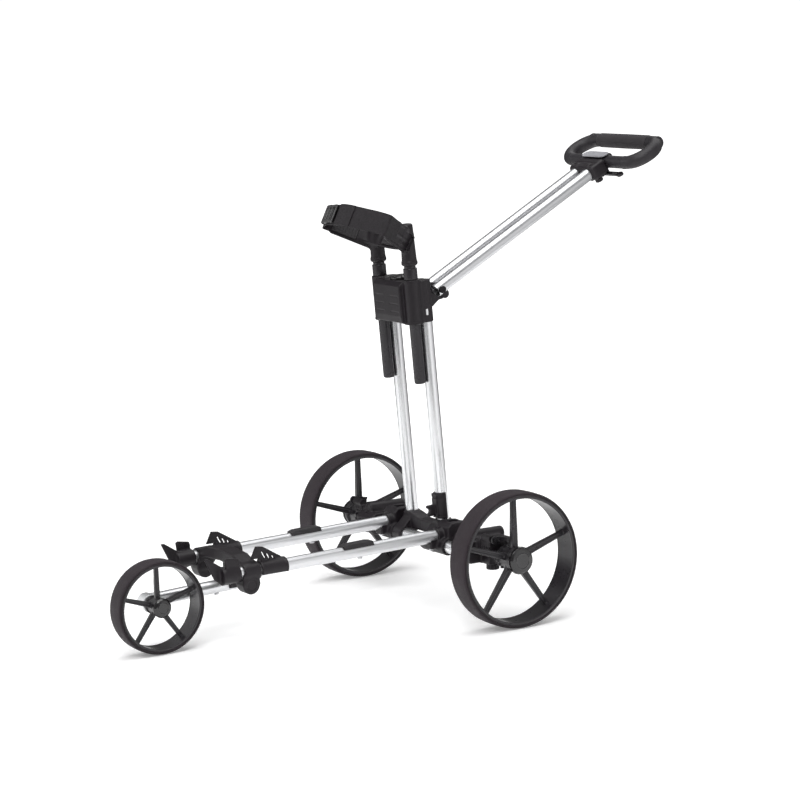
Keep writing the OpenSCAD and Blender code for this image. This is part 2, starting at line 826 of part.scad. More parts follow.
place() {
    left_bar();
    right_bar();
    left_bracket();
    right_bracket();
    hinge_tube();
    axle_tubes();
    left_housing();
    right_housing();
    rear_axles();
    left_rim();
    left_tyre();
    left_cap();
    left_bearings();
    right_rim();
    right_tyre();
    right_cap();
    right_bearings();
    left_pawl();
    right_pawl();
    left_knob();
    right_knob();
    front_tube();
    front_fork();
    front_axle();
    front_rim();
    front_tyre();
    front_cap();
    front_bearings();
    bag_foot();
    foot_front_left();
    foot_front_right();
    foot_rear_left();
    foot_rear_right();
    bumpers();
    bar_screws();
    yoke();
    left_upright();
    right_upright();
    frame_clip();
    mid_bracket();
    release_button();
    hinge_bolt();
    lock_wheel();
    left_handle_tube();
    right_handle_tube();
    handle_clamp();
    console();
    lever_pin();
    clamp_lever();
    clamp_knob();
    grip_loop();
    grip_foam();
    grip_caps();
    left_leg();
    right_leg();
    cradle();
    cradle_pads();
    strap();
    strap_buckle();
}
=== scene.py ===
# A golf push trolley, dressed for its picture: moulded parts, tyres, strap and finishes around
# the CAD frame. Shapes are drawn in millimetres, in local frames read from the record's joints.
import json
import math
import bpy
import numpy as np
import openvdb
from mathutils import Matrix, Vector


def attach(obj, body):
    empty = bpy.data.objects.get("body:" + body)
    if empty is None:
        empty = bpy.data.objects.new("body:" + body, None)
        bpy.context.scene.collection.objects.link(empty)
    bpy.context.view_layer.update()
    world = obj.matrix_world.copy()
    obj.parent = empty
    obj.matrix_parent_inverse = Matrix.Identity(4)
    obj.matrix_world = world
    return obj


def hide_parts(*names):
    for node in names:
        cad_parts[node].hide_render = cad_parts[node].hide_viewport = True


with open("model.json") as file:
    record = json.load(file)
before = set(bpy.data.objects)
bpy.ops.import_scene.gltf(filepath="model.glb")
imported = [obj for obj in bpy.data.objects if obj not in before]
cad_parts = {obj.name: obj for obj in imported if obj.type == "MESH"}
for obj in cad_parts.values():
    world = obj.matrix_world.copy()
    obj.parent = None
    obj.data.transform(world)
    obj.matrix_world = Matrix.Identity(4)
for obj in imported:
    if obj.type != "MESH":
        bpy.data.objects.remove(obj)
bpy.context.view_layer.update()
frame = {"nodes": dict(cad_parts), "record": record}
joints = {j["name"]: j for j in frame["record"]["behaviour"]["joints"]}

MM = 0.001
MAST_FOOT_X = -1.18     # where the uprights' axes meet the ground, ahead of the rear axle
BAR_HEIGHT = 168.7      # the lower bars' axes above the ground at the rear axle
BAR_Y = 101.5           # and to the side of the middle
BAR_TILT = 1.6          # degrees, nose down, as is the next one
FRONT_ARM_TILT = 2.6
FRONT_ARM_Z = 101.5     # the front tube's axis over the front axle
LEAN = 4.06             # of the uprights, degrees forwards
BORE = 14.1             # radius of every hole for a frame tube
# X and Y in the mast's frame
UPRIGHT = (0, 64.2)
LEG = (27.6, 63.4)
BUTTON = (14, 0)
# X and Z in the base's frame
AXLE = (0, 145)
HINGE = (44, 146)
FRONT_AXLE = (700, 97.8)
HANDLE_BOLT = (-17.5, 690)
LOCK_AT = (-45, 676)
PAWL_PIN = (30, 184.5)
BRAKE_KNOB = (4, 240)   # X and Y in the base's frame
SIDES = ((1, "left"), (-1, "right"))


# ---------- local frames: millimetres in, row metres out ----------

def tilted(origin, up):
    """A frame turned only about Y, so that its Z points along up."""
    up = Vector(up).normalized()
    along = Vector((up.z, 0, -up.x))
    m = Matrix((
        (along.x, 0, up.x, origin[0]),
        (0, 1, 0, origin[1]),
        (along.z, 0, up.z, origin[2]),
        (0, 0, 0, 1)))
    return m @ Matrix.Scale(MM, 4)


AXLE_X = joints["left_wheel_spin"]["pos_m"][0]
press = Vector(joints["release_press"]["axis"])
wing_axis = Vector(joints["right_front_wing_fold"]["axis"])
BASE = tilted((AXLE_X, 0, 0), (0, 0, 1))
MAST = tilted((AXLE_X + MAST_FOOT_X * MM, 0, 0), -press)
BARS = tilted((AXLE_X, 0, BAR_HEIGHT * MM), (-wing_axis.z, 0, wing_axis.x))
HANDLE = tilted(joints["handle_fold"]["pos_m"], joints["clamp_knob_turn"]["axis"])


def wheel_frame(joint):
    """Z along the axle to the trolley's left, the first spoke straight up at -90 degrees."""
    at = joints[joint]["pos_m"]
    m = Matrix(((1, 0, 0, at[0]), (0, 0, 1, at[1]), (0, -1, 0, at[2]), (0, 0, 0, 1)))
    return m @ Matrix.Scale(MM, 4)


MIRROR = Matrix.Diagonal((1, -1, 1, 1))


# ---------- meshes ----------

def new_object(name, data):
    obj = bpy.data.objects.new(name, data)
    bpy.context.scene.collection.objects.link(obj)
    return obj


def make_piece(name, verts, faces, where, side=1):
    """A new object from local points; side -1 mirrors it to the trolley's right."""
    m = where if side > 0 else MIRROR @ where
    a = np.array(m)
    pts = np.asarray(verts, dtype=float) @ a[:3, :3].T + a[:3, 3]
    if np.linalg.det(a[:3, :3]) < 0:
        faces = [tuple(reversed(f)) for f in faces]
    mesh = bpy.data.meshes.new(name)
    mesh.from_pydata(pts.tolist(), [], [tuple(int(i) for i in f) for f in faces])
    mesh.update()
    mesh.shade_smooth()
    return new_object(name, mesh)


def dress(obj, body, mat, *nodes):
    """Material, body, slot and the CAD nodes that the piece stands for."""
    obj.data.materials.append(mat)
    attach(obj, body)
    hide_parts(*nodes)
    return obj


def add_piece(name, shape, where, body, mat, *nodes, side=1):
    return dress(make_piece(name, *shape, where, side), body, mat, *nodes)


def merged(parts):
    """One (verts, faces) from several."""
    verts, faces, n = [], [], 0
    for v, f in parts:
        verts.append(np.asarray(v, dtype=float))
        faces += [tuple(i + n for i in face) for face in f]
        n += len(v)
    return np.concatenate(verts), faces


def rounded_outline(corners, steps=5):
    """A closed outline from (a, b, radius) corners, each turned into an arc."""
    out = []
    n = len(corners)
    for i, (a, b, r) in enumerate(corners):
        p = np.array((a, b), float)
        before = np.array(corners[i - 1][:2], float) - p
        after = np.array(corners[(i + 1) % n][:2], float) - p
        u, v = before / np.linalg.norm(before), after / np.linalg.norm(after)
        half = math.acos(max(-1, min(1, float(u @ v)))) / 2
        if r <= 0 or half > 1.56:
            out.append(tuple(p))
            continue
        reach = r / math.tan(half)
        centre = p + (u + v) / np.linalg.norm(u + v) * (r / math.sin(half))
        start, end = p + u * reach - centre, p + v * reach - centre
        a0 = math.atan2(start[1], start[0])
        turn = math.atan2(end[1], end[0]) - a0
        turn = (turn + math.pi) % (2 * math.pi) - math.pi
        for k in range(steps + 1):
            t = a0 + turn * k / steps
            out.append((centre[0] + r * math.cos(t), centre[1] + r * math.sin(t)))
    return out


def lathe(outline, steps=96):
    """A closed (radius, height) outline turned about Z."""
    n = len(outline)
    prof = np.array(outline)
    verts = []
    for k in range(steps):
        t = 2 * math.pi * k / steps
        verts.append(np.stack([prof[:, 0] * math.cos(t), prof[:, 0] * math.sin(t), prof[:, 1]], 1))
    faces = []
    for k in range(steps):
        for i in range(n):
            j = (i + 1) % n
            a, b = k * n, ((k + 1) % steps) * n
            faces.append((a + i, b + i, b + j, a + j))
    area = sum(prof[i - 1, 0] * prof[i, 1] - prof[i, 0] * prof[i - 1, 1] for i in range(n))
    if area > 0:
        faces = [tuple(reversed(f)) for f in faces]
    return np.concatenate(verts), faces


def around(count, radius, centre=(0, 0)):
    """Points spaced evenly round a circle."""
    for k in range(count):
        t = 2 * math.pi * k / count
        yield centre[0] + radius * math.cos(t), centre[1] + radius * math.sin(t)


# ---------- moulded solids: distance fields joined with fillets ----------

class Space:
    """Points in some frame, and their distances to simple shapes."""

    def __init__(self, x, y, z):
        self.x, self.y, self.z = x, y, z

    def xyz(self):
        return [self.x, self.y, self.z]

    def turned(self, axis, degrees, origin=(0, 0, 0)):
        """The same points in a frame set at origin and turned about its own axis 0, 1 or 2."""
        p = [q - o for q, o in zip(self.xyz(), origin)]
        i, j = ((1, 2), (2, 0), (0, 1))[axis]
        c, s = math.cos(math.radians(degrees)), math.sin(math.radians(degrees))
        p[i], p[j] = c * p[i] + s * p[j], c * p[j] - s * p[i]
        return Space(*p)

    def flipped(self, side):
        return Space(self.x, side * self.y, self.z)

    def box(self, low, high, edge=1.5):
        qs = [np.abs(p - (lo + hi) / 2) - (abs(hi - lo) / 2 - edge)
              for p, lo, hi in zip(self.xyz(), low, high)]
        return rounded(qs, edge)

    def cyl(self, axis, centre, radius, low, high, edge=1.0):
        """axis 0, 1 or 2; centre is the other two coordinates in X, Y, Z order."""
        p = self.xyz()
        a, b = [p[i] for i in range(3) if i != axis]
        round_ = np.sqrt((a - centre[0]) ** 2 + (b - centre[1]) ** 2) - (radius - edge)
        flat = np.abs(p[axis] - (low + high) / 2) - (abs(high - low) / 2 - edge)
        return rounded([round_, flat], edge)

    def tube(self, axis, radius, low, high, edge=1.0):
        """A cylinder about one of the frame's own axes."""
        return self.cyl(axis, (0, 0), radius, low, high, edge)

    def slab(self, axis, corners, low, high, edge=1.0):
        """A flat outline, in the other two coordinates, made solid from low to high."""
        p = self.xyz()
        a, b = [p[i] for i in range(3) if i != axis]
        flat = np.abs(p[axis] - (low + high) / 2) - (abs(high - low) / 2 - edge)
        return rounded([polygon(a, b, corners) + edge, flat], edge)

    def rod(self, start, end, r0, r1=None):
        """A round-ended rod whose radius runs from r0 to r1."""
        r1 = r0 if r1 is None else r1
        s, e = np.array(start, float), np.array(end, float)
        d = e - s
        ps = [q - c for q, c in zip(self.xyz(), s)]
        t = sum(q * c for q, c in zip(ps, d)) / float(d @ d)
        t = np.clip(t, 0, 1)
        return np.sqrt(sum((q - t * c) ** 2 for q, c in zip(ps, d))) - (r0 + (r1 - r0) * t)


class Mould(Space):
    """A box of space in local millimetres, in which shapes are joined and cut with rounded edges."""

    def __init__(self, low, high, step):
        self.low, self.step = np.array(low, float), step
        axes = [np.arange(low[i], high[i] + step, step, dtype=np.float32) for i in range(3)]
        super().__init__(axes[0][:, None, None], axes[1][None, :, None], axes[2][None, None, :])
        self.d = np.full([len(a) for a in axes], 1e3, dtype=np.float32)

    def join(self, shape, fillet=0.0):
        self.d = blend_min(self.d, shape, fillet)

    def cut(self, shape, fillet=0.0):
        self.d = -blend_min(-self.d, shape, fillet)

    def mesh(self):
        """The surface as (verts, faces)."""
        limit = 4 * self.step
        grid = openvdb.FloatGrid(background=limit)
        grid.copyFromArray(np.clip(self.d, -limit, limit))
        pts, quads = grid.convertToQuads(0.0)
        pts = np.asarray(pts, dtype=float) * self.step + self.low
        quads = np.asarray(quads)
        a, b, c = pts[quads[:, 0]], pts[quads[:, 1]], pts[quads[:, 2]]
        if np.einsum("ij,ij->i", a, np.cross(b, c)).sum() < 0:
            quads = quads[:, ::-1]
        return pts, quads


def blend_min(a, b, k):
    if k <= 0:
        return np.minimum(a, b)
    h = np.maximum(k - np.abs(a - b), 0) / k
    return np.minimum(a, b) - h * h * k / 4


def rounded(qs, edge):
    outside = np.sqrt(sum(np.maximum(q, 0) ** 2 for q in qs))
    inside = qs[0]
    for q in qs[1:]:
        inside = np.maximum(inside, q)
    return outside + np.minimum(inside, 0) - edge


def polygon(a, b, corners):
    """Signed distance to a closed outline of straight sides."""
    n = len(corners)
    best = np.float32(1e9)
    sign = np.float32(1)
    for i in range(n):
        (ax, ay), (bx, by) = corners[i], corners[i - 1]
        ex, ey = bx - ax, by - ay
        wx, wy = a - ax, b - ay
        t = np.clip((wx * ex + wy * ey) / (ex * ex + ey * ey), 0, 1)
        best = np.minimum(best, (wx - ex * t) ** 2 + (wy - ey * t) ** 2)
        c1, c2, c3 = b >= ay, b < by, ex * wy > ey * wx
        flip = (c1 & c2 & c3) | (~c1 & ~c2 & ~c3)
        sign = np.where(flip, -sign, sign)
    return sign * np.sqrt(best)


# ---------- materials ----------

def nodes_of(name):
    mat = bpy.data.materials.new(name)
    mat.use_nodes = True
    return mat, mat.node_tree, mat.node_tree.nodes["Principled BSDF"]


def preset(node, **values):
    """Default values of a node's inputs, with an underscore for each space in a name."""
    for key, value in values.items():
        node.inputs[key.replace("_", " ")].default_value = value
    return node


def new_node(tree, kind, **values):
    return preset(tree.nodes.new("ShaderNode" + kind), **values)


def vector_math(tree, operation):
    node = new_node(tree, "VectorMath")
    node.operation = operation
    return node


def noise_map(tree, vector, scale, low=0.0, high=1.0, detail=4.0):
    """A noise that runs from low to high."""
    noise = new_node(tree, "TexNoise", Scale=scale, Detail=detail, Roughness=0.55)
    tree.links.new(vector, noise.inputs["Vector"])
    span = new_node(tree, "MapRange", From_Min=0.3, From_Max=0.7, To_Min=low, To_Max=high)
    tree.links.new(noise.outputs["Fac"], span.inputs["Value"])
    return span.outputs["Result"]


def bump(tree, shader, height, strength, distance):
    node = new_node(tree, "Bump", Strength=strength, Distance=distance)
    tree.links.new(height, node.inputs["Height"])
    tree.links.new(node.outputs["Normal"], shader.inputs["Normal"])


def uneven_gloss(tree, shader, vector, scale, rough, detail=4.0):
    tree.links.new(noise_map(tree, vector, scale, *rough, detail), shader.inputs["Roughness"])


def tinted(tree, shader, factor, dark, light):
    mix = new_node(tree, "Mix")
    mix.data_type = "RGBA"
    mix.inputs[6].default_value = (*dark, 1)
    mix.inputs[7].default_value = (*light, 1)
    tree.links.new(factor, mix.inputs[0])
    tree.links.new(mix.outputs[2], shader.inputs["Base Color"])


def shades(colour, dark, light):
    return [c * dark for c in colour], [c * light for c in colour]


def grey_ramp(tree, value, ends, stops):
    """A ramp through greys, from its two end stops and then those between, as (position, grey)."""
    ramp = new_node(tree, "ValToRGB")
    line = ramp.color_ramp.elements
    for i, (at, grey) in enumerate(ends):
        line[i].position = at
        line[i].color = (grey, grey, grey, 1)
    for at, grey in stops:
        line.new(at).color = (grey, grey, grey, 1)
    tree.links.new(value, ramp.inputs["Fac"])
    return ramp.outputs["Color"]


def object_space(tree):
    return new_node(tree, "TexCoord").outputs["Object"]


def moulded_plastic(name, colour, rough, grain=900.0, relief=0.25, coat=0.0, metallic=0.0):
    """Spark-eroded nylon, or a casting: fine grain, slightly uneven gloss and colour."""
    mat, tree, shader = nodes_of(name)
    space = object_space(tree)
    tinted(tree, shader, noise_map(tree, space, 14.0), *shades(colour, 0.88, 1.14))
    uneven_gloss(tree, shader, space, 45.0, rough, 6.0)
    bump(tree, shader, noise_map(tree, space, grain, detail=2.0), relief, 0.0002)
    preset(shader, Specular_IOR_Level=0.34, Coat_Weight=coat, Coat_Roughness=0.12, Metallic=metallic)
    return mat


def tube_metal(name, along, colour=(0.80, 0.805, 0.82), rough=(0.22, 0.32)):
    """Satin anodised tube: fine drawing lines along its length."""
    mat, tree, shader = nodes_of(name)
    turn = Vector(along).to_track_quat("X", "Z").inverted().to_euler()
    mapping = new_node(tree, "Mapping", Rotation=turn)
    tree.links.new(object_space(tree), mapping.inputs["Vector"])
    stretch = vector_math(tree, "MULTIPLY")
    stretch.inputs[1].default_value = (3.0, 260.0, 260.0)
    tree.links.new(mapping.outputs["Vector"], stretch.inputs[0])
    lines = stretch.outputs["Vector"]
    preset(shader, Metallic=1.0)
    tinted(tree, shader, noise_map(tree, lines, 1.0), *shades(colour, 0.955, 1))
    uneven_gloss(tree, shader, lines, 1.0, rough)
    bump(tree, shader, noise_map(tree, lines, 1.5, detail=2.0), 0.03, 0.0001)
    return mat


def plated_steel(name, dark=(0.50, 0.50, 0.52), light=(0.62, 0.62, 0.64)):
    mat, tree, shader = nodes_of(name)
    space = object_space(tree)
    preset(shader, Metallic=1.0)
    tinted(tree, shader, noise_map(tree, space, 60.0), dark, light)
    uneven_gloss(tree, shader, space, 220.0, (0.22, 0.42), 5.0)
    bump(tree, shader, noise_map(tree, space, 700.0), 0.15, 0.0001)
    return mat


def rubber(name, colour, rough=(0.62, 0.78), grain=1400.0, relief=0.35):
    mat, tree, shader = nodes_of(name)
    space = object_space(tree)
    tinted(tree, shader, noise_map(tree, space, 9.0, detail=6.0), *shades(colour, 0.85, 1.2))
    uneven_gloss(tree, shader, space, 30.0, rough, 6.0)
    bump(tree, shader, noise_map(tree, space, grain, detail=3.0), relief, 0.0003)
    preset(shader, Specular_IOR_Level=0.3, Sheen_Weight=0.02, Sheen_Roughness=0.5)
    return mat


def woven(name, colour):
    """Polyester webbing: crossed warp and weft waves over a fibrous base."""
    mat, tree, shader = nodes_of(name)
    space = object_space(tree)
    tinted(tree, shader, noise_map(tree, space, 160.0), *shades(colour, 0.8, 1.35))
    waves = []
    for direction, scale in (("Z", 190.0), ("Y", 150.0)):
        wave = new_node(tree, "TexWave", Scale=scale, Distortion=0.6)
        wave.bands_direction = direction
        tree.links.new(space, wave.inputs["Vector"])
        waves.append(wave.outputs["Fac"])
    both = new_node(tree, "Math")
    both.operation = "MULTIPLY"
    for i, w in enumerate(waves):
        tree.links.new(w, both.inputs[i])
    bump(tree, shader, both.outputs["Value"], 0.5, 0.0004)
    uneven_gloss(tree, shader, space, 300.0, (0.55, 0.75))
    preset(shader, Specular_IOR_Level=0.3, Sheen_Weight=0.02, Sheen_Roughness=0.4)
    return mat


HANDLE_DIRECTION = HANDLE.to_3x3() @ Vector((1, 0, 0))

BLACK = (0.009, 0.0065, 0.009)
frame_plastic = moulded_plastic("frame_plastic", BLACK, (0.40, 0.50))
wheel_plastic = moulded_plastic("wheel_plastic", (0.020, 0.018, 0.021), (0.26, 0.34), 500.0, 0.10, 0.15)
satin_black = moulded_plastic("satin_black", (0.016, 0.014, 0.017), (0.24, 0.32), 600.0, 0.06, 0.1)
cap_plastic = moulded_plastic("cap_plastic", (0.010, 0.009, 0.010), (0.12, 0.18), 300.0, 0.04, 0.6)
tyre_rubber = rubber("tyre_rubber", (0.021, 0.015, 0.019))
soft_rubber = rubber("soft_rubber", (0.026, 0.024, 0.026), (0.55, 0.7))
grip_plastic = moulded_plastic("grip_plastic", (0.018, 0.016, 0.019), (0.42, 0.52), 800.0, 0.2)
foam_rubber = rubber("foam_rubber", (0.026, 0.023, 0.026), (0.68, 0.82), 700.0, 0.6)
console_plastic = moulded_plastic("console_plastic", (0.27, 0.27, 0.29), (0.34, 0.42))
bar_metal = tube_metal("bar_metal", wing_axis, (0.70, 0.705, 0.72), (0.28, 0.38))
mast_metal = tube_metal("mast_metal", -press)
# The handle tubes get the same satin tube metal in a darker colour: painted shade that tones down the
# lamps' highlight on them.
handle_metal_painted_shade = tube_metal("handle_metal_painted_shade", HANDLE_DIRECTION, (0.64, 0.645, 0.66), (0.30, 0.40))
cross_metal = tube_metal("cross_metal", (0, 1, 0))
cast_metal = moulded_plastic("cast_metal", (0.74, 0.75, 0.76), (0.34, 0.46), 700.0, 0.3, metallic=1.0)
steel = plated_steel("steel")
black_steel = plated_steel("black_steel", (0.020, 0.019, 0.021), (0.035, 0.033, 0.036))
woven_strap = woven("woven_strap", (0.010, 0.008, 0.010))

CAD_FINISH = {
    bar_metal: ("left_bar", "right_bar", "front_tube"),
    mast_metal: ("left_upright", "right_upright"),
    handle_metal_painted_shade: ("left_handle_tube", "right_handle_tube"),
    cross_metal: ("hinge_tube", "axle_tubes"),
    cast_metal: ("front_fork",),
    black_steel: ("rear_axles", "hinge_bolt", "left_bearings", "right_bearings"),
    steel: ("front_axle", "bar_screws", "lever_pin", "front_bearings"),
}


def finish_cad():
    """Better materials on the CAD pieces whose shape is already right, and a default on the rest."""
    for name, obj in frame["nodes"].items():
        mat = frame_plastic
        for finish, names in CAD_FINISH.items():
            if name in names:
                mat = finish
        for slot in obj.material_slots:
            slot.material = mat


# ---------- wheels ----------

BRAKE_RING_R = 27.5


def tyre(radius, width, bead, shoulder):
    """Smooth tyre with a slightly crowned tread and a bead that stops at the rim's lip."""
    h = width / 2
    right = [(bead, h - 2.6, 0.8), (bead + 2.0, h - 2.4, 0.8), (bead + 3.2, h - 0.4, 1.2),
             (radius - 0.9, h, shoulder), (radius - 0.3, h * 0.42, 3.0), (radius, 2.0, 1.0)]
    left = [(r, -z, e) for r, z, e in reversed(right)]
    return lathe(rounded_outline(right + left), 160)


def hoop(radius, width, depth):
    """Rim hoop with rolled lips; radius is where the tyre sits."""
    h = width / 2
    inner = radius - depth
    side = [(radius, h - 3.4, 0.6), (radius + 2.0, h - 3.0, 0.5), (radius + 2.0, h - 1.2, 0.8),
            (inner - 0.4, h - 0.9, 0.9), (inner - 0.4, h - 3.2, 0.9), (inner, h - 4.6, 1.5)]
    other = [(r, -z, e) for r, z, e in reversed(side)]
    return lathe(rounded_outline(side + other, 4), 160)


def spoke_star(m, count, start, end, half_wide, half_deep):
    """Tapered spokes with a channel in the outer face, flared where they meet the hoop."""
    for k in range(count):
        t = -math.pi / 2 + 2 * math.pi * k / count
        u = m.x * math.cos(t) + m.y * math.sin(t)
        v = -m.x * math.sin(t) + m.y * math.cos(t)
        part = np.clip((u - start) / (end - start), 0, 1)
        wide = half_wide[0] + (half_wide[1] - half_wide[0]) * part
        deep = half_deep[0] + (half_deep[1] - half_deep[0]) * part
        edge = 1.4
        arm = rounded([np.abs(v) - (wide - edge), np.abs(m.z) - (deep - edge),
                       np.abs(u - (start + end) / 2) - ((end - start) / 2 - edge)], edge)
        groove = np.sqrt(v ** 2 + (np.abs(m.z) - deep - 0.5) ** 2) - wide * 0.42
        ends = np.maximum(groove, np.maximum(start + 14 - u, u - (end - 9)))
        arm = -blend_min(-arm, ends, 0.8)
        m.join(arm, 4.0)


def rear_wheel_core():
    inner = 131.8
    m = Mould((-137, -137, -31), (137, 137, 24), 1.35)
    spoke_star(m, 5, 16, 139, (7.4, 5.2), (6.4, 5.4))
    shell = inner + 1.6 - np.sqrt(m.x ** 2 + m.y ** 2)
    m.join(np.maximum(shell, np.abs(m.z) - 14), 5.0)
    m.d = np.maximum(m.d, np.sqrt(m.x ** 2 + m.y ** 2) - inner - 0.8)
    m.join(m.tube(2, 23.5, -24, 20.6, 1.2), 4.0)
    m.join(m.tube(2, 28.2, 9.5, 20.8, 1.6), 3.0)
    m.join(m.tube(2, BRAKE_RING_R, -29, -23, 0.8), 1.0)
    for at in around(16, BRAKE_RING_R + 0.6):
        m.cut(m.cyl(2, at, 3.4, -32, -21.5, 0.3), 0.6)
    m.cut(m.tube(2, 14.2, -34, -18, 0.4), 0.4)
    m.cut(m.tube(2, 8.0, -40, 8, 0.3), 0.2)
    m.cut(m.tube(2, 14.2, 8, 40, 0.4), 0.4)
    return m.mesh()


def front_wheel_core():
    inner = 86.0
    m = Mould((-91, -91, -27), (91, 91, 23), 1.1)
    spoke_star(m, 5, 10, 92, (5.6, 4.2), (5.2, 4.4))
    shell = inner + 1.4 - np.sqrt(m.x ** 2 + m.y ** 2)
    m.join(np.maximum(shell, np.abs(m.z) - 11), 4.0)
    m.d = np.maximum(m.d, np.sqrt(m.x ** 2 + m.y ** 2) - inner - 0.8)
    m.join(m.tube(2, 16.5, -20, 19.8, 1.0), 3.0)
    m.join(m.tube(2, 19.0, -24, -16, 1.0), 1.5)
    m.cut(m.tube(2, 11.2, -30, -17, 0.4), 0.4)
    m.cut(m.tube(2, 7.0, -40, 9, 0.3), 0.2)
    m.cut(m.tube(2, 11.2, 9, 40, 0.4), 0.4)
    return m.mesh()


def hub_cap(radius, base, top, recess):
    """Domed gloss cap: stepped skirt, shallow ring groove and a slightly dished middle."""
    ring = radius * 0.56
    prof = [(0.01, top - 0.3, 0), (0.5, top - 0.3, 0), (ring - 1.4, top - 0.25, 0.6),
            (ring - 0.9, top + 0.25, 0.3), (ring + 0.1, top + 0.2, 0.3), (ring + 0.7, top - 0.35, 0.5),
            (radius * 0.80, top - 1.3, 6.0), (radius - 1.4, top - 4.2, 3.0), (radius, base + 2.4, 1.6),
            (radius, base, 0.6), (recess, base, 0.4), (recess, base + 3.6, 0.4), (0.01, base + 3.6, 0)]
    return lathe(rounded_outline(prof, 4), 96)


def make_wheels():
    core = rear_wheel_core()
    rear_hoop = hoop(138, 57.5, 6.1)
    rear_tyre = tyre(145, 58.6, 138, 6.5)
    rear_cap = hub_cap(29.5, 21, 32, 13)
    at = wheel_frame("left_wheel_spin")
    for side, word in SIDES:
        body = word + "_wheel"
        add_piece(word + "_wheel_rim", merged([core, rear_hoop]), at,
                  body, wheel_plastic, word + "_rim", side=side)
        add_piece(word + "_wheel_tyre", rear_tyre, at, body, tyre_rubber, word + "_tyre", side=side)
        add_piece(word + "_wheel_cap", rear_cap, at, body, cap_plastic, word + "_cap", side=side)
    at = wheel_frame("front_wheel_spin")
    front_parts = merged([front_wheel_core(), hoop(91.8, 48.0, 5.8)])
    add_piece("front_wheel_rim", front_parts, at, "front_wheel", wheel_plastic, "front_rim")
    add_piece("front_wheel_tyre", tyre(97.8, 49.6, 91.8, 6.0), at, "front_wheel", tyre_rubber, "front_tyre")
    add_piece("front_wheel_cap", hub_cap(20.5, 20, 28.3, 9), at, "front_wheel", cap_plastic, "front_cap")


# ---------- folding upright frame ----------

def at_point(place, x, y, z):
    """The same frame with its origin moved to (x, y, z) in it."""
    return place @ Matrix.Translation((x, y, z))


def along_bar(space):
    """Points in the left lower bar's frame, X along it."""
    return space.turned(1, BAR_TILT, (0, BAR_Y, BAR_HEIGHT))


def along_front_arm(space):
    """Points in the front tube's frame, X along it."""
    return space.turned(1, FRONT_ARM_TILT, (FRONT_AXLE[0], 0, FRONT_ARM_Z))


def leg_profile():
    """Cradle leg: a rod with a rounded foot and a stop collar."""
    return rounded_outline([
        (0.01, 499, 0), (0.5, 499, 0), (10.6, 499, 1.8), (12.5, 501.4, 1.5), (12.5, 725.6, 0.6),
        (15.0, 725.6, 1.0), (15.0, 749.6, 1.2), (12.5, 749.6, 0.8), (12.5, 786, 0), (0.01, 786, 0)], 3)


def mid_bracket_body():
    m = Mould((-22, -86, 620), (62, 86, 730), 1.2)
    for side in (1, -1):
        half = m.flipped(side)
        m.join(half.cyl(2, LEG, 18.0, 629, 725, 1.6), 0)
        m.join(half.cyl(2, LEG, 18.6, 629, 634, 1.2), 2)
        m.join(half.cyl(2, UPRIGHT, 16.4, 630, 721, 1.4), 4)
        m.join(half.box((0, 51.2, 634), (LEG[0], 77.2, 718), 1.5), 4)
    front = [(-12, 641), (-12, 716), (-8, 721), (44, 721), (55, 712), (55, 648), (52, 633), (44, 629),
             (40, 641)]
    m.join(m.slab(1, front, -54, 54, 2.2), 5)
    m.cut(m.box((-7, -46, 600), (46, 46, 709), 3.0), 2)
    m.cut(m.box((40, -42, 600), (50, 42, 704), 2.0), 1.5)
    for side in (1, -1):
        half = m.flipped(side)
        m.cut(half.cyl(2, LEG, 12.8, 600, 760, 0.5), 1.6)
        m.cut(half.cyl(2, UPRIGHT, BORE, 600, 716, 0.5), 0.8)
        m.cut(half.box((0.5, 78, 645), (7.5, 102, 659), 1.6), 0.8)
        for k in range(3):
            m.cut(half.box((54.2, 12, 655 + 17 * k), (58, 46, 657.4 + 17 * k), 0.6), 0.6)
    m.join(m.box((-8, -7.4, 646), (49, 7.4, 690), 2.0), 4)
    m.cut(m.cyl(2, BUTTON, 23.5, 715.5, 760, 0.6), 1.2)
    m.cut(m.cyl(2, BUTTON, 6.2, 600, 760, 0.4), 0.4)
    return m.mesh()


def mid_bracket_tongue():
    m = Mould((-58, -15, 640), (50, 15, 716), 0.9)
    side = [(44, 712), (-14, 702.5), (-28.5, 694), (-31, 684), (-52, 682), (-50, 668), (-28, 664),
            (-12, 651), (42, 642)]
    m.join(m.slab(1, side, -7.4, 7.4, 1.6), 0)
    m.join(m.cyl(1, HANDLE_BOLT, 13, -7.4, 7.4, 1.2), 3)
    m.join(m.cyl(1, HANDLE_BOLT, 9.5, -8.0, 8.0, 0.6), 1)
    m.cut(m.box((-50, -20, 674), (-37, -3, 684), 0.6), 0)
    for low, high in ((-20, -2.9), (2.9, 20)):
        m.cut(m.cyl(1, LOCK_AT, 11.2, low, high, 0.4), 0.6)
    m.cut(m.cyl(1, LOCK_AT, 4.1, -20, 20, 0.2), 0.2)
    m.cut(m.cyl(1, HANDLE_BOLT, 5.0, -20, 20, 0.2), 0.3)
    return m.mesh()


def thumb_wheel():
    m = Mould((-57, -8.6, 664), (-33, 8.6, 688), 0.6)
    for low, high in ((3, 7.4), (-7.4, -3)):
        m.join(m.cyl(1, LOCK_AT, 10, low, high, 0.7), 0)
    for at in around(20, 10.6, LOCK_AT):
        m.cut(m.cyl(1, at, 1.1, -9, 9, 0.2), 0.5)
    m.join(m.cyl(1, LOCK_AT, 4.0, -7, 7, 0.2), 0.6)
    return m.mesh()


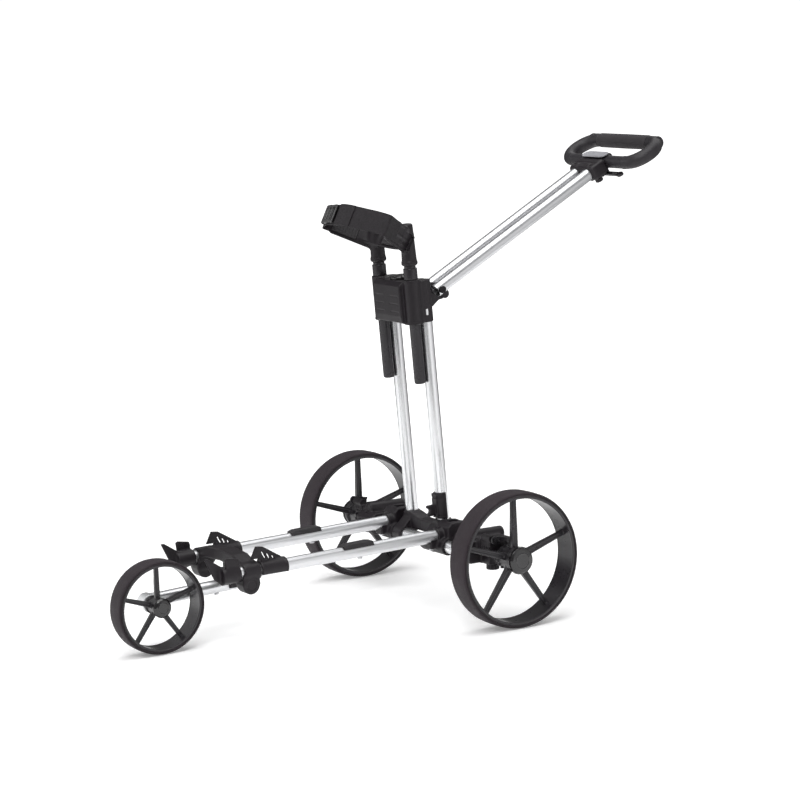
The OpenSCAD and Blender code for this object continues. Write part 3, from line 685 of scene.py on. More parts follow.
def button_profile():
    dome = [(r, 660 + math.sqrt(70.5 ** 2 - r * r)) for r in (0.01, 0.5, 4, 8, 12, 16)]
    prof = [(r, z, 0) for r, z in dome]
    prof += [(17.0, 728.2, 0.3), (17.4, 727.5, 0.3), (18.2, 727.4, 0.3), (18.6, 728.0, 0.3),
             (21.4, 727.2, 0.8), (22.8, 725.6, 0.8), (22.8, 720.6, 0.4), (6, 720.6, 0.4),
             (6, 700, 0.5), (0.01, 700, 0)]
    return rounded_outline(prof, 4)


def yoke_shape():
    m = Mould((-24, -94, 120), (70, 94, 204), 1.25)
    block = [(-72, 158), (-72, 192), (-48, 194), (-30, 190), (-12, 184), (12, 182), (30, 184), (48, 190),
             (60, 192), (72, 190), (72, 158)]
    m.join(m.slab(0, block, -3, 31, 3.0), 0)
    for side in (1, -1):
        half = m.flipped(side)
        lean = half.turned(1, LEAN, (MAST_FOOT_X, 0, 0))
        m.join(lean.cyl(2, UPRIGHT, 16.6, 160, 194, 1.4), 4)
        m.join(lean.cyl(2, UPRIGHT, 17.3, 190, 194.4, 1.2), 1.5)
        ear = [(22, 192), (63, 150), (52, 129), (-2, 160), (-2, 190)]
        m.join(half.slab(1, ear, 40, 72.5, 2.0), 2.5)
        m.join(half.cyl(1, HINGE, 19, 40, 72.5, 1.8), 2)
        m.cut(lean.cyl(2, UPRIGHT, BORE, 170, 260, 0.4), 0.6)
        m.cut(half.cyl(1, HINGE, 16.2, 70.5, 90, 0.6), 0.8)
    m.cut(m.box((30.2, -0.5, 150), (40, 0.5, 200), 0.2), 0.6)
    m.cut(m.cyl(1, HINGE, BORE, -100, 100, 0.3), 0.3)
    return m.mesh()


def frame_clip_shape():
    m = Mould((-8, 40, 192), (44, 88, 260), 0.95)
    m.join(m.cyl(2, UPRIGHT, 16.8, 197, 255, 1.2), 0)
    m.join(m.box((10, 52.2, 199), (19, 72.2, 253), 1.6), 3)
    m.join(m.box((14, 55.2, 205), (38, 65.2, 229), 2.4), 3)
    m.cut(m.cyl(2, UPRIGHT, BORE, 180, 270, 0.3), 0.4)
    m.cut(m.box((-40, 30, 190), (-2, 95, 262), 0.5), 0.8)
    m.cut(m.cyl(1, (38, 217), 6.2, 30, 100, 0.5), 1.2)
    for z in (204, 244):
        deep = 15.9 - np.sqrt(m.x ** 2 + (m.y - UPRIGHT[1]) ** 2)
        m.cut(np.abs(m.z - z) - 0.6 + 4 * np.maximum(0, deep), 0.4)
    return m.mesh()


def make_mast():
    legs = lathe(leg_profile(), 72)
    for side, word in SIDES:
        add_piece(word + "_cradle_leg", legs, at_point(MAST, *LEG, 0),
                  "bag_cradle", satin_black, word + "_leg", side=side)
    add_piece("mid_bracket_body", mid_bracket_body(), MAST, "mast", frame_plastic, "mid_bracket")
    add_piece("mid_bracket_tongue", mid_bracket_tongue(), BASE, "mast", frame_plastic, "mid_bracket")
    add_piece("lock_thumb_wheel", thumb_wheel(), BASE, "lock", frame_plastic, "lock_wheel")
    add_piece("release_button_dome", lathe(button_profile(), 96), at_point(MAST, *BUTTON, 0),
              "button", cap_plastic, "release_button")
    add_piece("yoke_casting", yoke_shape(), BASE, "mast", frame_plastic, "yoke")
    add_piece("frame_clip_shell", frame_clip_shape(), MAST, "mast", frame_plastic, "frame_clip")


# ---------- upper bag cradle ----------

CRADLE_TILT = 31.06    # its plane, from square to the legs
CRADLE_UP = 800        # along the legs
SADDLE_X = 103         # centre of the saddle's curve
CRADLE = at_point(MAST, LEG[0], 0, CRADLE_UP) @ Matrix.Rotation(math.radians(-CRADLE_TILT), 4, "Y")
WING_REACH = (101, 56.6)    # X and Y from a leg to the end of its wing
WING_TURN = math.degrees(math.atan2(WING_REACH[1], WING_REACH[0]))
WING_LONG = math.hypot(WING_REACH[1], WING_REACH[0])
STRAP_R = 226.6             # of the strap's front run, and the X of its centre
STRAP_X = 140.6 - STRAP_R
STRAP_ON_WING = 5.3         # from a wing's plane to the middle of the strap
STRAP_HALF_Y = 127.0


def sector(space, centre_x, radius, half_thick, low, high, half_angle, edge):
    """An upright band bent round (centre_x, 0), on its +X side if half_angle is positive."""
    way = 1 if half_angle > 0 else -1
    a = math.radians(abs(half_angle))
    dx = (space.x - centre_x) * way
    r = np.sqrt(dx ** 2 + space.y ** 2)
    limit = np.abs(space.y) * math.cos(a) - dx * math.sin(a)
    return rounded([np.abs(r - radius) - (half_thick - edge), np.abs(space.z - (low + high) / 2)
                    - ((high - low) / 2 - edge), limit + edge], edge)


def cradle_shape():
    m = Mould((-43, -131, -51), (113, 131, 49), 1.25)
    wing_side = [(-5, -21), (-12, 22), (30, 29), (WING_LONG - 8, 29), (WING_LONG, 22), (WING_LONG, -4),
                 (WING_LONG - 6, -15), (WING_LONG - 16, -21)]
    rim_side = [(6, -15), (2, 18), (30, 23), (WING_LONG - 10, 23), (WING_LONG - 6, 19), (WING_LONG - 6, -3),
                (WING_LONG - 11, -11), (WING_LONG - 18, -15)]
    for side in (1, -1):
        half = m.flipped(side)
        leg = half.turned(1, CRADLE_TILT)
        r = np.sqrt(leg.x ** 2 + (leg.y - LEG[1]) ** 2)
        t = np.clip((leg.z + 45) / 90, 0, 1)
        m.join(rounded([r - (16.6 - 3 * t - 4), np.abs(leg.z) - 41], 4), 0)
        m.join(rounded([r - 16.2, np.abs(leg.z + 38.5) - 2.3], 1.2), 2)
        wing = half.turned(2, WING_TURN, (0, LEG[1], 0))
        m.join(wing.slab(1, wing_side, -2, 4, 1.8), 6)
        m.cut(wing.slab(1, rim_side, 3.1, 12, 0.4), 1.0)
        m.join(wing.rod((10, 3.0, 3), (WING_LONG - 20, 3.0, 5), 2.0, 1.2), 3)
    m.join(sector(m, SADDLE_X, 110.5, 2.5, -10, 28, -50, 1.6), 7)
    m.join(sector(m, SADDLE_X, 111.2, 3.4, -11, -6, -50, 1.8), 2)
    m.join(sector(m, SADDLE_X, 111.2, 3.2, 24.5, 29, -50, 1.8), 2)
    return m.mesh()


def saddle_pad():
    m = Mould((-8, -42, -8), (12, 42, 28), 0.8)
    m.join(sector(m, SADDLE_X, 106, 2.0, -5, 24, -20, 1.3), 0)
    for k in range(-5, 6):
        face = 104 - np.sqrt((m.x - SADDLE_X) ** 2 + m.y ** 2)
        m.cut(np.sqrt((m.y - 7 * k) ** 2 + face ** 2) - 0.9, 0.5)
    return m.mesh()


def wing_pad():
    """In the left wing's own frame."""
    m = Mould((42, -7, -16), (102, 0, 26), 0.8)
    m.join(m.box((44, -5, -14), (100, -2.02, 24), 1.3), 0)
    for k in range(8):
        x = 47.5 + 7 * k
        m.cut(np.sqrt((m.x - x) ** 2 + (m.y + 5.2) ** 2) - 0.9, 0.5)
    return m.mesh()


def even_path(points, step, passes):
    """Points at even steps along a line, with its corners softened."""
    pts = np.array(points, float)
    for _ in range(2):
        seg = np.linalg.norm(np.diff(pts, axis=0), axis=1)
        along = np.concatenate([[0], np.cumsum(seg)])
        n = int(along[-1] / step) + 1
        s = np.linspace(0, along[-1], n)
        pts = np.stack([np.interp(s, along, pts[:, i]) for i in range(2)], 1)
        for _ in range(passes):
            pts[1:-1] = 0.25 * pts[:-2] + 0.5 * pts[1:-1] + 0.25 * pts[2:]
    return pts


def webbing(path, thick, low, high):
    """Flat strap on edge along a path in X and Y, with rounded selvedges and a little waviness."""
    flow = np.gradient(path, axis=0)
    flow /= np.linalg.norm(flow, axis=1)[:, None]
    out = np.stack([flow[:, 1], -flow[:, 0]], 1)
    h, e = thick / 2, thick * 0.36
    section = rounded_outline(
        [(-h, low, e), (h * 0.8, low, e), (h, low + 2.2, 1.0), (h * 0.72, low + 3.4, 1.0),
         (h, low + 4.6, 1.0), (h, high - 4.6, 1.0), (h * 0.72, high - 3.4, 1.0),
         (h, high - 2.2, 1.0), (h * 0.8, high, e), (-h, high, e)], 3)
    n, k = len(section), len(path)
    verts = []
    for i in range(k):
        sway = 0.35 * math.sin(i * 0.11) + 0.2 * math.sin(i * 0.043 + 1.0)
        for a, z in section:
            verts.append((path[i, 0] + out[i, 0] * a, path[i, 1] + out[i, 1] * a, z + sway))
    faces = [(i * n + j, i * n + (j + 1) % n, (i + 1) * n + (j + 1) % n, (i + 1) * n + j)
             for i in range(k - 1) for j in range(n)]
    faces.append(tuple(range(n))[::-1])
    faces.append(tuple((k - 1) * n + j for j in range(n)))
    return verts, [tuple(reversed(f)) for f in faces]


def strap_arc(radius, start, sweep, steps):
    """Points round the front of the strap; angles in degrees."""
    angles = [math.radians(start + sweep * k / steps) for k in range(steps + 1)]
    return [(STRAP_X + radius * math.cos(t), radius * math.sin(t)) for t in angles]


def strap_path():
    """Along the far wing, round the front and back along the near wing."""
    c, s = math.cos(math.radians(WING_TURN)), math.sin(math.radians(WING_TURN))

    def wing(x, y, side):
        return (x * c - y * s, side * (LEG[1] + x * s + y * c))
    on_wing = (68, 92, WING_LONG + 3.0)
    pts = [wing(x, STRAP_ON_WING, -1) for x in on_wing]
    half = math.degrees(math.asin(STRAP_HALF_Y / STRAP_R))
    pts += strap_arc(STRAP_R - 1.2, -half, 2 * half, 60)
    pts += [wing(x, STRAP_ON_WING, 1) for x in on_wing[::-1]]
    return even_path(pts, 1.6, 3)


def second_layer_path():
    return even_path(strap_arc(STRAP_R + 1.0, -4.5, 14, 30), 1.6, 0)


def buckle_shape():
    m = Mould((112, -96, -20), (146, -14, 32), 0.9)
    b = m.turned(2, -14, (STRAP_X, 0, 0))
    b = Space(b.x - STRAP_R, b.y, b.z + 18)
    m.join(b.box((0.15, -33, 3), (7, 34, 44), 2.2), 0)
    m.join(b.box((0.15, -30, 1.5), (5.0, -8, 45.5), 1.6), 3)
    for y in (-22, 0, 22):
        m.cut(b.box((3.2, y - 7, 9), (12, y + 7, 38), 1.6), 1.0)
    for y in (-11, 11):
        m.join(b.rod((5.4, y, 7), (5.4, y, 40), 1.7), 1.0)
    return m.mesh()


def make_cradle():
    add_piece("cradle_frame", cradle_shape(), CRADLE, "bag_cradle", frame_plastic, "cradle")
    wing_at = at_point(CRADLE, 0, LEG[1], 0) @ Matrix.Rotation(math.radians(WING_TURN), 4, "Z")
    pads = [make_piece("saddle_pad", *saddle_pad(), CRADLE)]
    pad = wing_pad()
    pads += [make_piece(word + "_wing_pad", *pad, wing_at, side) for side, word in SIDES]
    for piece in pads:
        dress(piece, "bag_cradle", soft_rubber, "cradle_pads")
    add_piece("strap_band", webbing(strap_path(), 2.3, -18, 29), CRADLE, "bag_cradle", woven_strap, "strap")
    add_piece("strap_overlap", webbing(second_layer_path(), 2.0, -18.4, 29.4), CRADLE,
              "bag_cradle", woven_strap, "strap")
    add_piece("strap_slide_buckle", buckle_shape(), CRADLE, "bag_cradle", cap_plastic, "strap_buckle")


# ---------- rear axle group ----------

def bracket_shape():
    """Left bracket that clamps the hinge tube and the end of a lower bar."""
    m = Mould((-12, 71, 122), (86, 136, 204), 1.15)
    plate = [(-4, 133), (4, 130), (37, 130), (45, 138), (45, 187), (36, 196), (6, 196), (-4, 187)]
    m.join(m.slab(1, plate, 85, 133, 3.0), 0)
    m.join(m.cyl(1, HINGE, 19, 74, 133, 1.8), 5)
    m.join(m.cyl(1, HINGE, 20, 74, 79, 1.4), 1.5)
    claw = along_bar(m)
    screw = (20, 168)
    m.join(claw.tube(0, 17.6, 30, 60, 1.6), 4)
    m.join(m.box((39, 88, 141), (79, 115, 167), 3.5), 6)
    m.join(m.box((-1, 90, 177), (29, 126, 197), 3.0), 3)
    m.cut(m.box((2, 99, 190), (28, 117, 204), 1.6), 1.2)
    m.cut(m.cyl(1, screw, 7.5, 130.4, 140, 0.5), 1.0)
    m.join(m.cyl(1, screw, 5.2, 120, 132.6, 0.8), 0.5)
    m.cut(m.box((-20, 100, 150), (1.5, 122, 172), 2.0), 1.5)
    m.cut(m.cyl(1, HINGE, BORE, 60, 86.2, 0.3), 0.3)
    m.cut(m.cyl(1, HINGE, BORE, 117.8, 140, 0.3), 0.3)
    m.cut(claw.tube(0, BORE, 46.6, 140, 0.3), 0.6)
    m.cut(claw.cyl(2, (70, 0), 5.4, -34, -25.5, 0.2), 0.3)
    return m.mesh()


def housing_shape():
    """Left wheel housing: an axle sleeve, a ridge along the top and a shelf over a dark recess."""
    m = Mould((-52, 157, 118), (66, 287, 199), 1.3)
    sleeve = (200, 178)     # Y and Z of the ridge along its top
    body = [(-24, 137), (-14, 125), (50, 125), (60, 135), (60, 163), (48, 173), (-12, 173), (-24, 161)]
    m.join(m.slab(1, body, 162, 228, 4.0), 0)
    m.join(m.cyl(0, sleeve, 14, -47, 45, 3.5), 6)
    m.join(m.box((-43, 186, 161), (41, 214, 181), 3.0), 4)
    m.join(m.box((-35, 206, 159), (35, 276, 179), 4.0), 6)
    m.join(m.cyl(1, AXLE, 19, 220, 283, 1.6), 4)
    for k in range(5):
        deep = 18.0 - np.sqrt(m.x ** 2 + (m.z - AXLE[1]) ** 2)
        m.cut(np.maximum(np.abs(m.y - 241.2 - 8 * k) - 1.1, deep), 0.8)
    m.join(m.box((-16, 222, 124), (24, 258, 148), 3.0), 5)
    m.join(m.box((-20, 222, 153), (20, 250, 167), 2.0), 2)
    m.join(m.cyl(1, PAWL_PIN, 8, 246, 280, 1.2), 3)
    m.join(m.box((18, 246, 168), (34, 274, 184), 2.0), 3)
    for y in (176, 190):
        m.cut(m.box((-18, y, 118), (54, y + 6, 127.5), 1.5), 1.5)
    for k in range(3):
        m.cut(m.box((58.2, 170 + 16 * k, 140), (64, 180 + 16 * k, 158), 1.0), 1.0)
    m.cut(m.cyl(0, sleeve, 8.5, 43.6, 60, 0.5), 1.2)
    m.cut(m.cyl(0, sleeve, 8.5, -60, -45.4, 0.5), 1.2)
    m.cut(m.cyl(1, HINGE, BORE, 150, 216.2, 0.3), 0.5)
    m.cut(m.cyl(1, AXLE, 6.1, 180, 290, 0.2), 0.3)
    m.cut(m.cyl(2, BRAKE_KNOB, 4.2, 90, 132, 0.2), 0.3)
    return m.mesh()


def pawl_shape():
    m = Mould((-10, 284, 172), (42, 293, 196), 0.6)
    m.join(m.cyl(1, PAWL_PIN, 8.5, 286, 291, 0.8), 0)
    arm = [(32, 192.9), (-6, 186.5), (-6, 182), (28, 176.5)]
    m.join(m.slab(1, arm, 286, 291, 0.8), 1.5)
    tooth = [(-3.85, 176.9), (-2.55, 174.6), (0.25, 174.6), (1.55, 176.9), (2.85, 183.5), (-5.15, 183.5)]
    m.join(m.slab(1, tooth, 286, 291, 0.6), 1.0)
    m.cut(m.cyl(1, PAWL_PIN, 4.1, 270, 300, 0.2), 0.3)
    m.cut(m.slab(1, [(20, 188), (2, 185.2), (2, 183.6), (20, 181)], 290.2, 296, 0.3), 0.6)
    return m.mesh()


def brake_knob_shape():
    m = Mould((-15, -15, 109), (15, 15, 132), 0.65)
    m.join(m.tube(2, 14, 111, 123.4, 1.6), 0)
    for at in around(14, 15):
        m.cut(m.cyl(2, at, 2.2, 100, 126, 0.2), 0.8)
    m.cut(m.tube(2, 8, 105, 112.2, 0.4), 0.8)
    m.join(m.tube(2, 4, 112, 131, 0.4), 1.0)
    return m.mesh()


def make_rear_group():
    bracket, housing = bracket_shape(), housing_shape()
    pawl, knob = pawl_shape(), brake_knob_shape()
    for side, word in SIDES:
        add_piece(word + "_bracket_casting", bracket, BASE,
                  "base", frame_plastic, word + "_bracket", side=side)
        add_piece(word + "_wheel_housing", housing, BASE,
                  "base", frame_plastic, word + "_housing", side=side)
        add_piece(word + "_brake_pawl", pawl, BASE,
                  word + "_pawl_arm", satin_black, word + "_pawl", side=side)
        add_piece(word + "_brake_dial", knob, at_point(BASE, *BRAKE_KNOB, 0),
                  word + "_brake_knob", frame_plastic, word + "_knob", side=side)


# ---------- lower bag support and front arm ----------

def bag_foot_shape():
    m = Mould((472, -124, 104), (542, 124, 192), 1.3)
    beam = [(-100, 152), (-100, 171), (-58, 184), (0, 188), (58, 184), (100, 171), (100, 152), (58, 159),
            (0, 162), (-58, 159)]
    m.join(m.slab(0, beam, 494, 532, 4.0), 0)
    m.join(m.box((480, -13, 108), (518, 13, 165), 3.5), 7)
    boss = (519, 128)
    arm = along_front_arm(m)
    m.join(arm.tube(0, 19, -226, -182, 1.8), 4)
    m.join(arm.tube(0, 19.8, -188, -182.4, 1.6), 1.5)
    for side in (1, -1):
        half = m.flipped(side)
        bar = along_bar(half)
        m.join(bar.tube(0, 19, 495.5, 534, 2.0), 4)
        m.join(half.cyl(1, boss, 19, 84.5, 118.5, 3.0), 0)
        m.join(half.box((500, 84.5, 128), (538, 118.5, 152), 3.0), 6)
        m.cut(half.box((470, 26, 166.5), (506, 70, 173.5), 2.4), 1.6)
        m.cut(half.cyl(1, boss, 11, 117.2, 124, 0.5), 1.2)
        m.cut(bar.tube(0, BORE, 0, 700, 0.3), 0.5)
    m.cut(m.box((476, -6, 116), (483, 6, 150), 1.5), 1.5)
    m.cut(arm.tube(0, BORE, -224.2, 10, 0.3), 0.5)
    return m.mesh()


def front_wing_shape():
    m = Mould((537, 80, 128), (622, 122, 196), 1.0)
    bar = along_bar(m)
    m.join(bar.tube(0, 17.5, 541, 582, 2.0), 0)
    horn = [(618, 193), (610, 193), (578, 172), (549, 170), (549, 150), (560, 134), (578, 133), (596, 147),
            (607, 170)]
    m.join(m.slab(1, horn, 95.5, 100.5, 1.8), 5)
    leaf = [(577, 188), (572, 191), (546, 187), (543, 181), (543, 150), (572, 150)]
    m.join(m.slab(1, leaf, 107.5, 112.5, 1.6), 5)
    for k in range(4):
        x = 550 + 7 * k
        m.join(m.rod((x - 0.7, 107.4, 170), (x + 0.7, 106.8, 185.5), 1.5, 1.1), 1.2)
    m.cut(bar.tube(0, 14.15, 500, 575.5, 0.6), 0.5)
    return m.mesh()


def rear_wing_shape():
    m = Mould((426, 80, 146), (514, 122, 207), 1.0)
    bar = along_bar(m)
    m.join(bar.tube(0, 17.5, 430, 493, 1.8), 0)
    for x in (433, 489):
        m.join(bar.tube(0, 18.4, x - 2, x + 2, 1.0), 1.2)
    plate = [(429, 152), (429, 161), (441, 178), (481, 202), (498, 204), (511, 178), (493, 178), (493, 152)]
    m.join(m.slab(1, plate, 95.5, 100.5, 1.8), 6)
    for k in range(3):
        slot_at = m.turned(1, 28, (480 - 11 * k, 0, 184 - 3.6 * k))
        m.cut(slot_at.box((-1.4, 70, -8.5 + 2 * k), (1.4, 130, 8.5 - 2 * k), 1.0), 0.8)
    m.cut(bar.tube(0, 14.15, 400, 600, 0.3), 0.6)
    return m.mesh()


def bumper_shape():
    """Rubber saddle on a lower bar, in the bars' frame."""
    m = Mould((208, -14, -1), (302, 14, 23), 0.9)
    side = [(214, -3), (221, 18), (234, 20.5), (284, 19), (293, 16), (296, -3)]
    shape = m.slab(1, side, -12, 12, 2.4)
    m.join(np.maximum(shape, m.tube(0, 22, 200, 310, 1.0)), 0)
    for k in range(6):
        m.cut(m.rod((238 + 8 * k, -14, 21.4), (238 + 8 * k, 14, 21.4), 1.6), 0.8)
    m.d = np.maximum(m.d, 0.6 - m.z)
    m.cut(m.tube(0, 14.05, 190, 320, 0.3), 0.5)
    return m.mesh()


def fork_shape():
    """Cast elbow between the front tube and the axle barrel."""
    m = Mould((650, -19, 76), (722, 18, 122), 0.95)
    m.join(m.cyl(1, FRONT_AXLE, 19, -16, 15, 2.0), 0)
    arm = along_front_arm(m)
    m.join(arm.tube(0, 13.2, -44, -8, 0.6), 2)
    m.join(arm.tube(0, 14.6, -24, -8, 1.5), 4)
    m.cut(m.cyl(1, FRONT_AXLE, 12.5, 13.6, 20, 0.6), 1.0)
    m.cut(m.cyl(1, FRONT_AXLE, 12.5, -22, -14.6, 0.6), 1.0)
    m.cut(m.cyl(1, FRONT_AXLE, 5.05, -22, 20, 0.2), 0.2)
    return m.mesh()


def make_front_group():
    add_piece("bag_foot_casting", bag_foot_shape(), BASE, "base", frame_plastic, "bag_foot")
    front, rear, rubber_pad = front_wing_shape(), rear_wing_shape(), bumper_shape()
    for side, word in SIDES:
        add_piece("front_horn_" + word, front, BASE,
                  "front_wing_" + word, frame_plastic, "foot_front_" + word, side=side)
        add_piece("rear_leaf_" + word, rear, BASE,
                  "rear_wing_" + word, frame_plastic, "foot_rear_" + word, side=side)
        at = at_point(BARS, 0 if side > 0 else 11, BAR_Y, 0)
        add_piece("bar_saddle_" + word, rubber_pad, at, "base", soft_rubber, "bumpers", side=side)
    add_piece("front_fork_casting", fork_shape(), BASE, "base", cast_metal, "front_fork")


# ---------- handle ----------

LOOP_S = 517.5              # from the handle's hinge to the grip's pivot tube
LOOP_D = 83.5               # from there to the foam-covered bar
LOOP_Y = 95.0               # where the loop's ends begin to bend
HANDLE_TUBES = (-22.1, 22.1)
CLAMP_KNOB = (-480, 27)
LEVER_PIN = (14, -23.2)     # Y and Z
CONSOLE_TILT = 8            # degrees


def clamp_shape():
    m = Mould((-545, -48, -31), (-458, 48, 19), 1.0)
    m.join(m.box((-506, -44, -17), (-462, 44, 17), 8.0), 0)
    m.join(m.box((-539, -30, -17), (-499, 30, 12.4), 7.0), 3)
    for y in HANDLE_TUBES:
        m.join(m.cyl(0, (y, 0), 18.4, -478, -463, 2.0), 3)
    for i in (0, 1):
        m.join(m.box((-519 + 17 * i, 8, -29), (-514 + 17 * i, 20, -12), 1.8), 2)
    m.join(m.cyl(2, CLAMP_KNOB, 10, -18.5, -8.5, 1.2), 2.5)
    m.cut(np.maximum(np.abs(m.x + 486) - 0.7, 15.8 - np.abs(m.z)), 0.6)
    for y in (-30, 30):
        m.cut(m.cyl(2, (-474, y), 4.2, 15.4, 22, 0.4), 0.7)
    for y in HANDLE_TUBES:
        m.cut(m.cyl(0, (y, 0), BORE, -496.2, -440, 0.3), 0.5)
    m.cut(m.cyl(1, (-LOOP_S, 0), BORE, -70, 70, 0.3), 0.6)
    m.cut(m.cyl(0, LEVER_PIN, 2.6, -530, -490, 0.2), 0.2)
    return m.mesh()


def console_shape():
    """Oval plate with a raised rim, in its own frame: Z square to the plate."""
    m = Mould((-15, -44, -1), (15, 44, 4.5), 0.75)

    def oval(shrink):
        a = np.maximum(np.abs(m.y) - (42 - 12.9), 0)
        return np.sqrt(m.x ** 2 + a ** 2) - (12.9 - shrink)
    m.join(rounded([oval(1.0), np.abs(m.z - 1.5) - 0.5], 1.0), 0)
    m.cut(rounded([oval(2.8), np.abs(m.z - 4.2) - 1.6], 0.5), 0.5)
    return m.mesh()


def lever_shape():
    n = LEVER_PIN[1]
    m = Mould((-517, 6, -31), (-499, 82, -14), 0.7)
    m.join(m.cyl(0, LEVER_PIN, 5.8, -513.5, -502.5, 0.8), 0)
    m.join(m.box((-513.5, 14, n - 5.8), (-502.5, 74, n + 0.7), 1.6), 2)
    m.join(m.cyl(2, (-508, 72), 7.5, n - 5.8, n + 0.7, 1.6), 3)
    m.cut(m.box((-510.5, 34, -40), (-505.5, 66, -20), 1.8), 1.2)
    for k in range(3):
        m.cut(m.rod((-518, 70 + 3.6 * k, n + 1.4), (-498, 70 + 3.6 * k, n + 1.4), 1.0), 0.5)
    m.cut(m.cyl(0, LEVER_PIN, 2.6, -520, -490, 0.2), 0.2)
    return m.mesh()


def clamp_knob_shape():
    m = Mould((-10, -10, -30), (10, 10, -13), 0.6)
    m.join(m.tube(2, 9, -28, -19, 1.5), 0)
    for at in around(8, 10.5):
        m.cut(m.cyl(2, at, 2.6, -34, -16, 0.2), 0.9)
    m.cut(m.tube(2, 4, -34, -27.2, 0.4), 0.8)
    m.join(m.tube(2, 3, -20, -14, 0.3), 0.8)
    return m.mesh()


def grip_loop_shape():
    m = Mould((-622, -156, -19), (-500, 156, 19), 1.35)
    s, e = -LOOP_S, -LOOP_S - LOOP_D
    m.join(m.rod((s, -LOOP_Y, 0), (s, LOOP_Y, 0), 14), 0)
    m.join(m.rod((e, -LOOP_Y - 4, 0), (e, LOOP_Y + 4, 0), 11), 0)
    mid = (s + e) / 2
    for side in (1, -1):
        half = m.flipped(side)
        over = np.maximum(half.y - LOOP_Y, 0)
        ring = np.sqrt((half.x - mid) ** 2 + over ** 2) - LOOP_D / 2
        round_part = np.sqrt(ring ** 2 + half.z ** 2)
        swell = 14 + 1.8 * np.clip(over / 30, 0, 1)
        arc = np.maximum(round_part - swell, LOOP_Y - 1 - half.y)
        m.join(arc, 2)
        m.join(half.cyl(1, (e, 0), 14.8, LOOP_Y - 4, LOOP_Y + 22, 1.5), 3)
        m.join(half.cyl(1, (s, 0), 14.9, LOOP_Y - 2, LOOP_Y + 3, 1.0), 0.8)
    return m.mesh()


def foam_profile():
    prof = [(11.1, -90.8, 0.3), (15.2, -90.8, 1.6), (16.3, -86, 3), (16.6, 0, 0), (16.3, 86, 3),
            (15.2, 90.8, 1.6), (11.1, 90.8, 0.3)]
    return rounded_outline(prof, 4)


def cap_profile():
    prof = [(0.01, 2.0, 0), (15.2, 2.0, 0.4), (15.4, 4.0, 1.4), (13.6, 8.2, 3.2), (8, 9.6, 4),
            (0.5, 9.7, 0), (0.01, 9.7, 0)]
    return rounded_outline(prof, 5)


def make_handle():
    add_piece("handle_clamp_block", clamp_shape(), HANDLE, "handle", frame_plastic, "handle_clamp")
    at = at_point(HANDLE, -517, -3, 16.6) @ Matrix.Rotation(math.radians(-CONSOLE_TILT), 4, "Y")
    add_piece("console_plate", console_shape(), at, "handle", console_plastic, "console")
    add_piece("clamp_lever_arm", lever_shape(), HANDLE, "lever", satin_black, "clamp_lever")
    add_piece("clamp_knob_head", clamp_knob_shape(), at_point(HANDLE, *CLAMP_KNOB, 0),
              "knob", frame_plastic, "clamp_knob")
    add_piece("grip_loop_tube", grip_loop_shape(), HANDLE, "grip", grip_plastic, "grip_loop")
    to_side = Matrix.Rotation(math.radians(-90), 4, "X")
    across = at_point(HANDLE, -LOOP_S - LOOP_D, 0, 0) @ to_side
    piece = add_piece("grip_foam_sleeve", lathe(foam_profile(), 72), across,
                      "grip", foam_rubber, "grip_foam")
    cap = lathe(cap_profile(), 72)
    at = at_point(HANDLE, -LOOP_S - LOOP_D, LOOP_Y + 21, 0) @ to_side
    for side, word in SIDES:
        add_piece(word + "_grip_cap", cap, at, "grip", satin_black, "grip_caps", side=side)


# ---------- camera, floor and lights ----------

CAMERA_AT = (2.8337, 4.6594, 1.3041)
CAMERA_YAW = -2.12401      # heading about +Z, radians
CAMERA_PITCH = 0.154047    # downwards
CAMERA_ROLL = -0.029904
LENS_MM = 115.0


def make_camera():
    data = bpy.data.cameras.new("camera")
    data.lens = LENS_MM
    data.sensor_width = 36
    data.clip_end = 100
    cam = new_object("camera", data)
    cp = math.cos(CAMERA_PITCH)
    forward = Vector((cp * math.cos(CAMERA_YAW), cp * math.sin(CAMERA_YAW), -math.sin(CAMERA_PITCH)))
    right = forward.cross(Vector((0, 0, 1))).normalized()
    up = right.cross(forward)
    c, s = math.cos(CAMERA_ROLL), math.sin(CAMERA_ROLL)
    right, up = c * right + s * up, c * up - s * right
    cam.matrix_world = Matrix((
        (right.x, up.x, -forward.x, CAMERA_AT[0]),
        (right.y, up.y, -forward.y, CAMERA_AT[1]),
        (right.z, up.z, -forward.z, CAMERA_AT[2]),
        (0, 0, 0, 1)))
    bpy.context.scene.camera = cam


def make_floor():
    bpy.ops.mesh.primitive_plane_add(size=60)
    floor = bpy.context.object
    floor.name = "floor"
    mat, tree, shader = nodes_of("floor")
    preset(shader, Base_Color=(0.97, 0.97, 0.97, 1), Roughness=0.8, Specular_IOR_Level=0.1,
           Emission_Color=(1, 1, 1, 1))
    far = vector_math(tree, "LENGTH")
    tree.links.new(object_space(tree), far.inputs[0])
    span = new_node(tree, "MapRange", From_Min=0.7, From_Max=3.5, To_Min=0.22, To_Max=1.0)
    span.interpolation_type = "SMOOTHSTEP"
    tree.links.new(far.outputs["Value"], span.inputs["Value"])
    tree.links.new(span.outputs["Result"], shader.inputs["Emission Strength"])
    floor.data.materials.append(mat)


def area_light(name, at, target, size, power):
    data = bpy.data.lights.new(name, "AREA")
    data.shape = "DISK"
    data.size = size
    data.energy = power
    lamp = new_object(name, data)
    lamp.location = at
    lamp.rotation_euler = (Vector(target) - Vector(at)).to_track_quat("-Z", "Y").to_euler()


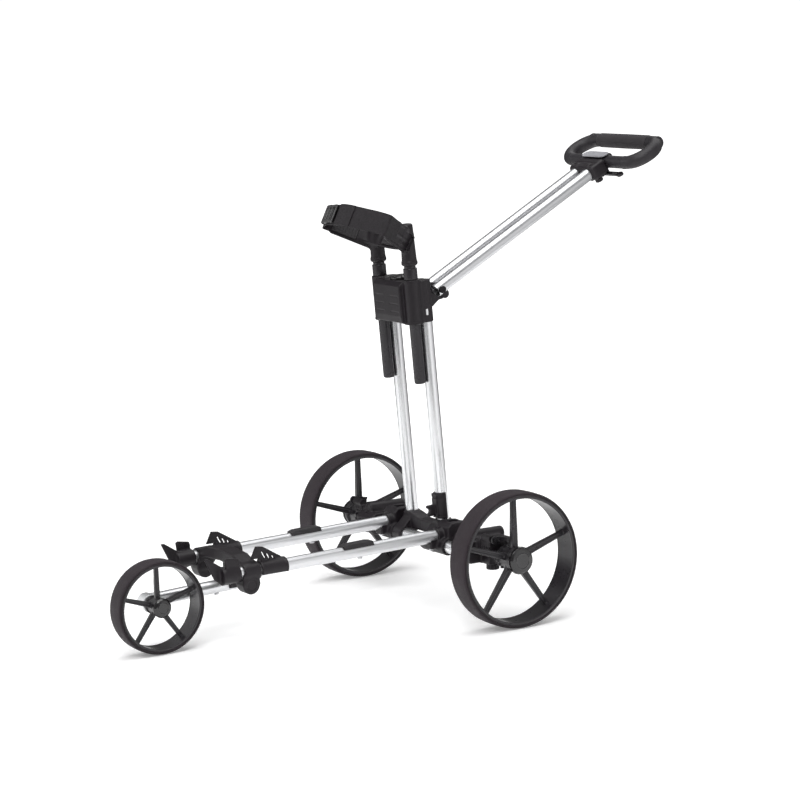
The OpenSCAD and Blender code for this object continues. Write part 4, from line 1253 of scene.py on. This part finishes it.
def make_surround():
    """A ring of white and grey cards that only reflections see; it gives the tubes their bands."""
    steps, radius, top = 96, 1.7, 1.5
    verts, faces = [], []
    for k, (x, y) in enumerate(around(steps, radius)):
        verts += [(x, y, 0.0), (x, y, top)]
        n = 2 * ((k + 1) % steps)
        faces.append((2 * k, 2 * k + 1, n + 1, n))
    mesh = bpy.data.meshes.new("surround")
    mesh.from_pydata(verts, [], faces)
    ring = new_object("surround", mesh)
    mat, tree, shader = nodes_of("surround")
    tree.nodes.remove(shader)
    dot = vector_math(tree, "DOT_PRODUCT")
    aim = Vector((CAMERA_AT[0], CAMERA_AT[1], 0)).normalized()
    aim.rotate(Matrix.Rotation(math.radians(-12), 3, "Z"))
    dot.inputs[1].default_value = aim / radius
    tree.links.new(object_space(tree), dot.inputs[0])
    span = new_node(tree, "MapRange", From_Min=-1.0)
    tree.links.new(dot.outputs["Value"], span.inputs["Value"])
    greys = grey_ramp(tree, span.outputs["Result"], ((0.0, 0.10), (1.0, 0.22)),
                      ((0.10, 0.12), (0.24, 0.40), (0.45, 0.60), (0.62, 0.95), (0.82, 0.95), (0.95, 0.25)))
    glow = new_node(tree, "Emission", Strength=1.1)
    tree.links.new(greys, glow.inputs["Color"])
    tree.links.new(glow.outputs["Emission"], tree.nodes["Material Output"].inputs["Surface"])
    mesh.materials.append(mat)
    ring.visible_camera = False
    ring.visible_diffuse = False
    ring.visible_shadow = False
    ring.visible_transmission = False


def make_lights():
    middle = (0, 0, 0.4)
    area_light("key", (2.4, 2.6, 3.6), middle, 2.6, 85)
    area_light("fill", (3.0, -2.5, 2.4), middle, 1.8, 30)
    area_light("back", (-3.0, -1.5, 3.2), middle, 3.6, 45)
    area_light("top", (0.3, 0.4, 4.5), middle, 4.2, 120)
    world = bpy.data.worlds.new("studio")
    world.use_nodes = True
    tree = world.node_tree
    back = tree.nodes["Background"]
    split = new_node(tree, "SeparateXYZ")
    tree.links.new(new_node(tree, "TexCoord").outputs["Generated"], split.inputs[0])
    greys = grey_ramp(tree, split.outputs["Z"], ((0.10, 1.0), (1.0, 0.4)),
                      ((0.18, 0.35), (0.3, 0.10), (0.55, 0.10), (0.75, 0.35)))
    tree.links.new(greys, back.inputs["Color"])
    preset(back, Strength=1.05)
    bpy.context.scene.world = world
    bpy.context.scene.view_settings.view_transform = "Standard"


make_camera()
make_floor()
make_surround()
make_lights()
finish_cad()
make_wheels()
make_mast()
make_cradle()
make_rear_group()
make_front_group()
make_handle()
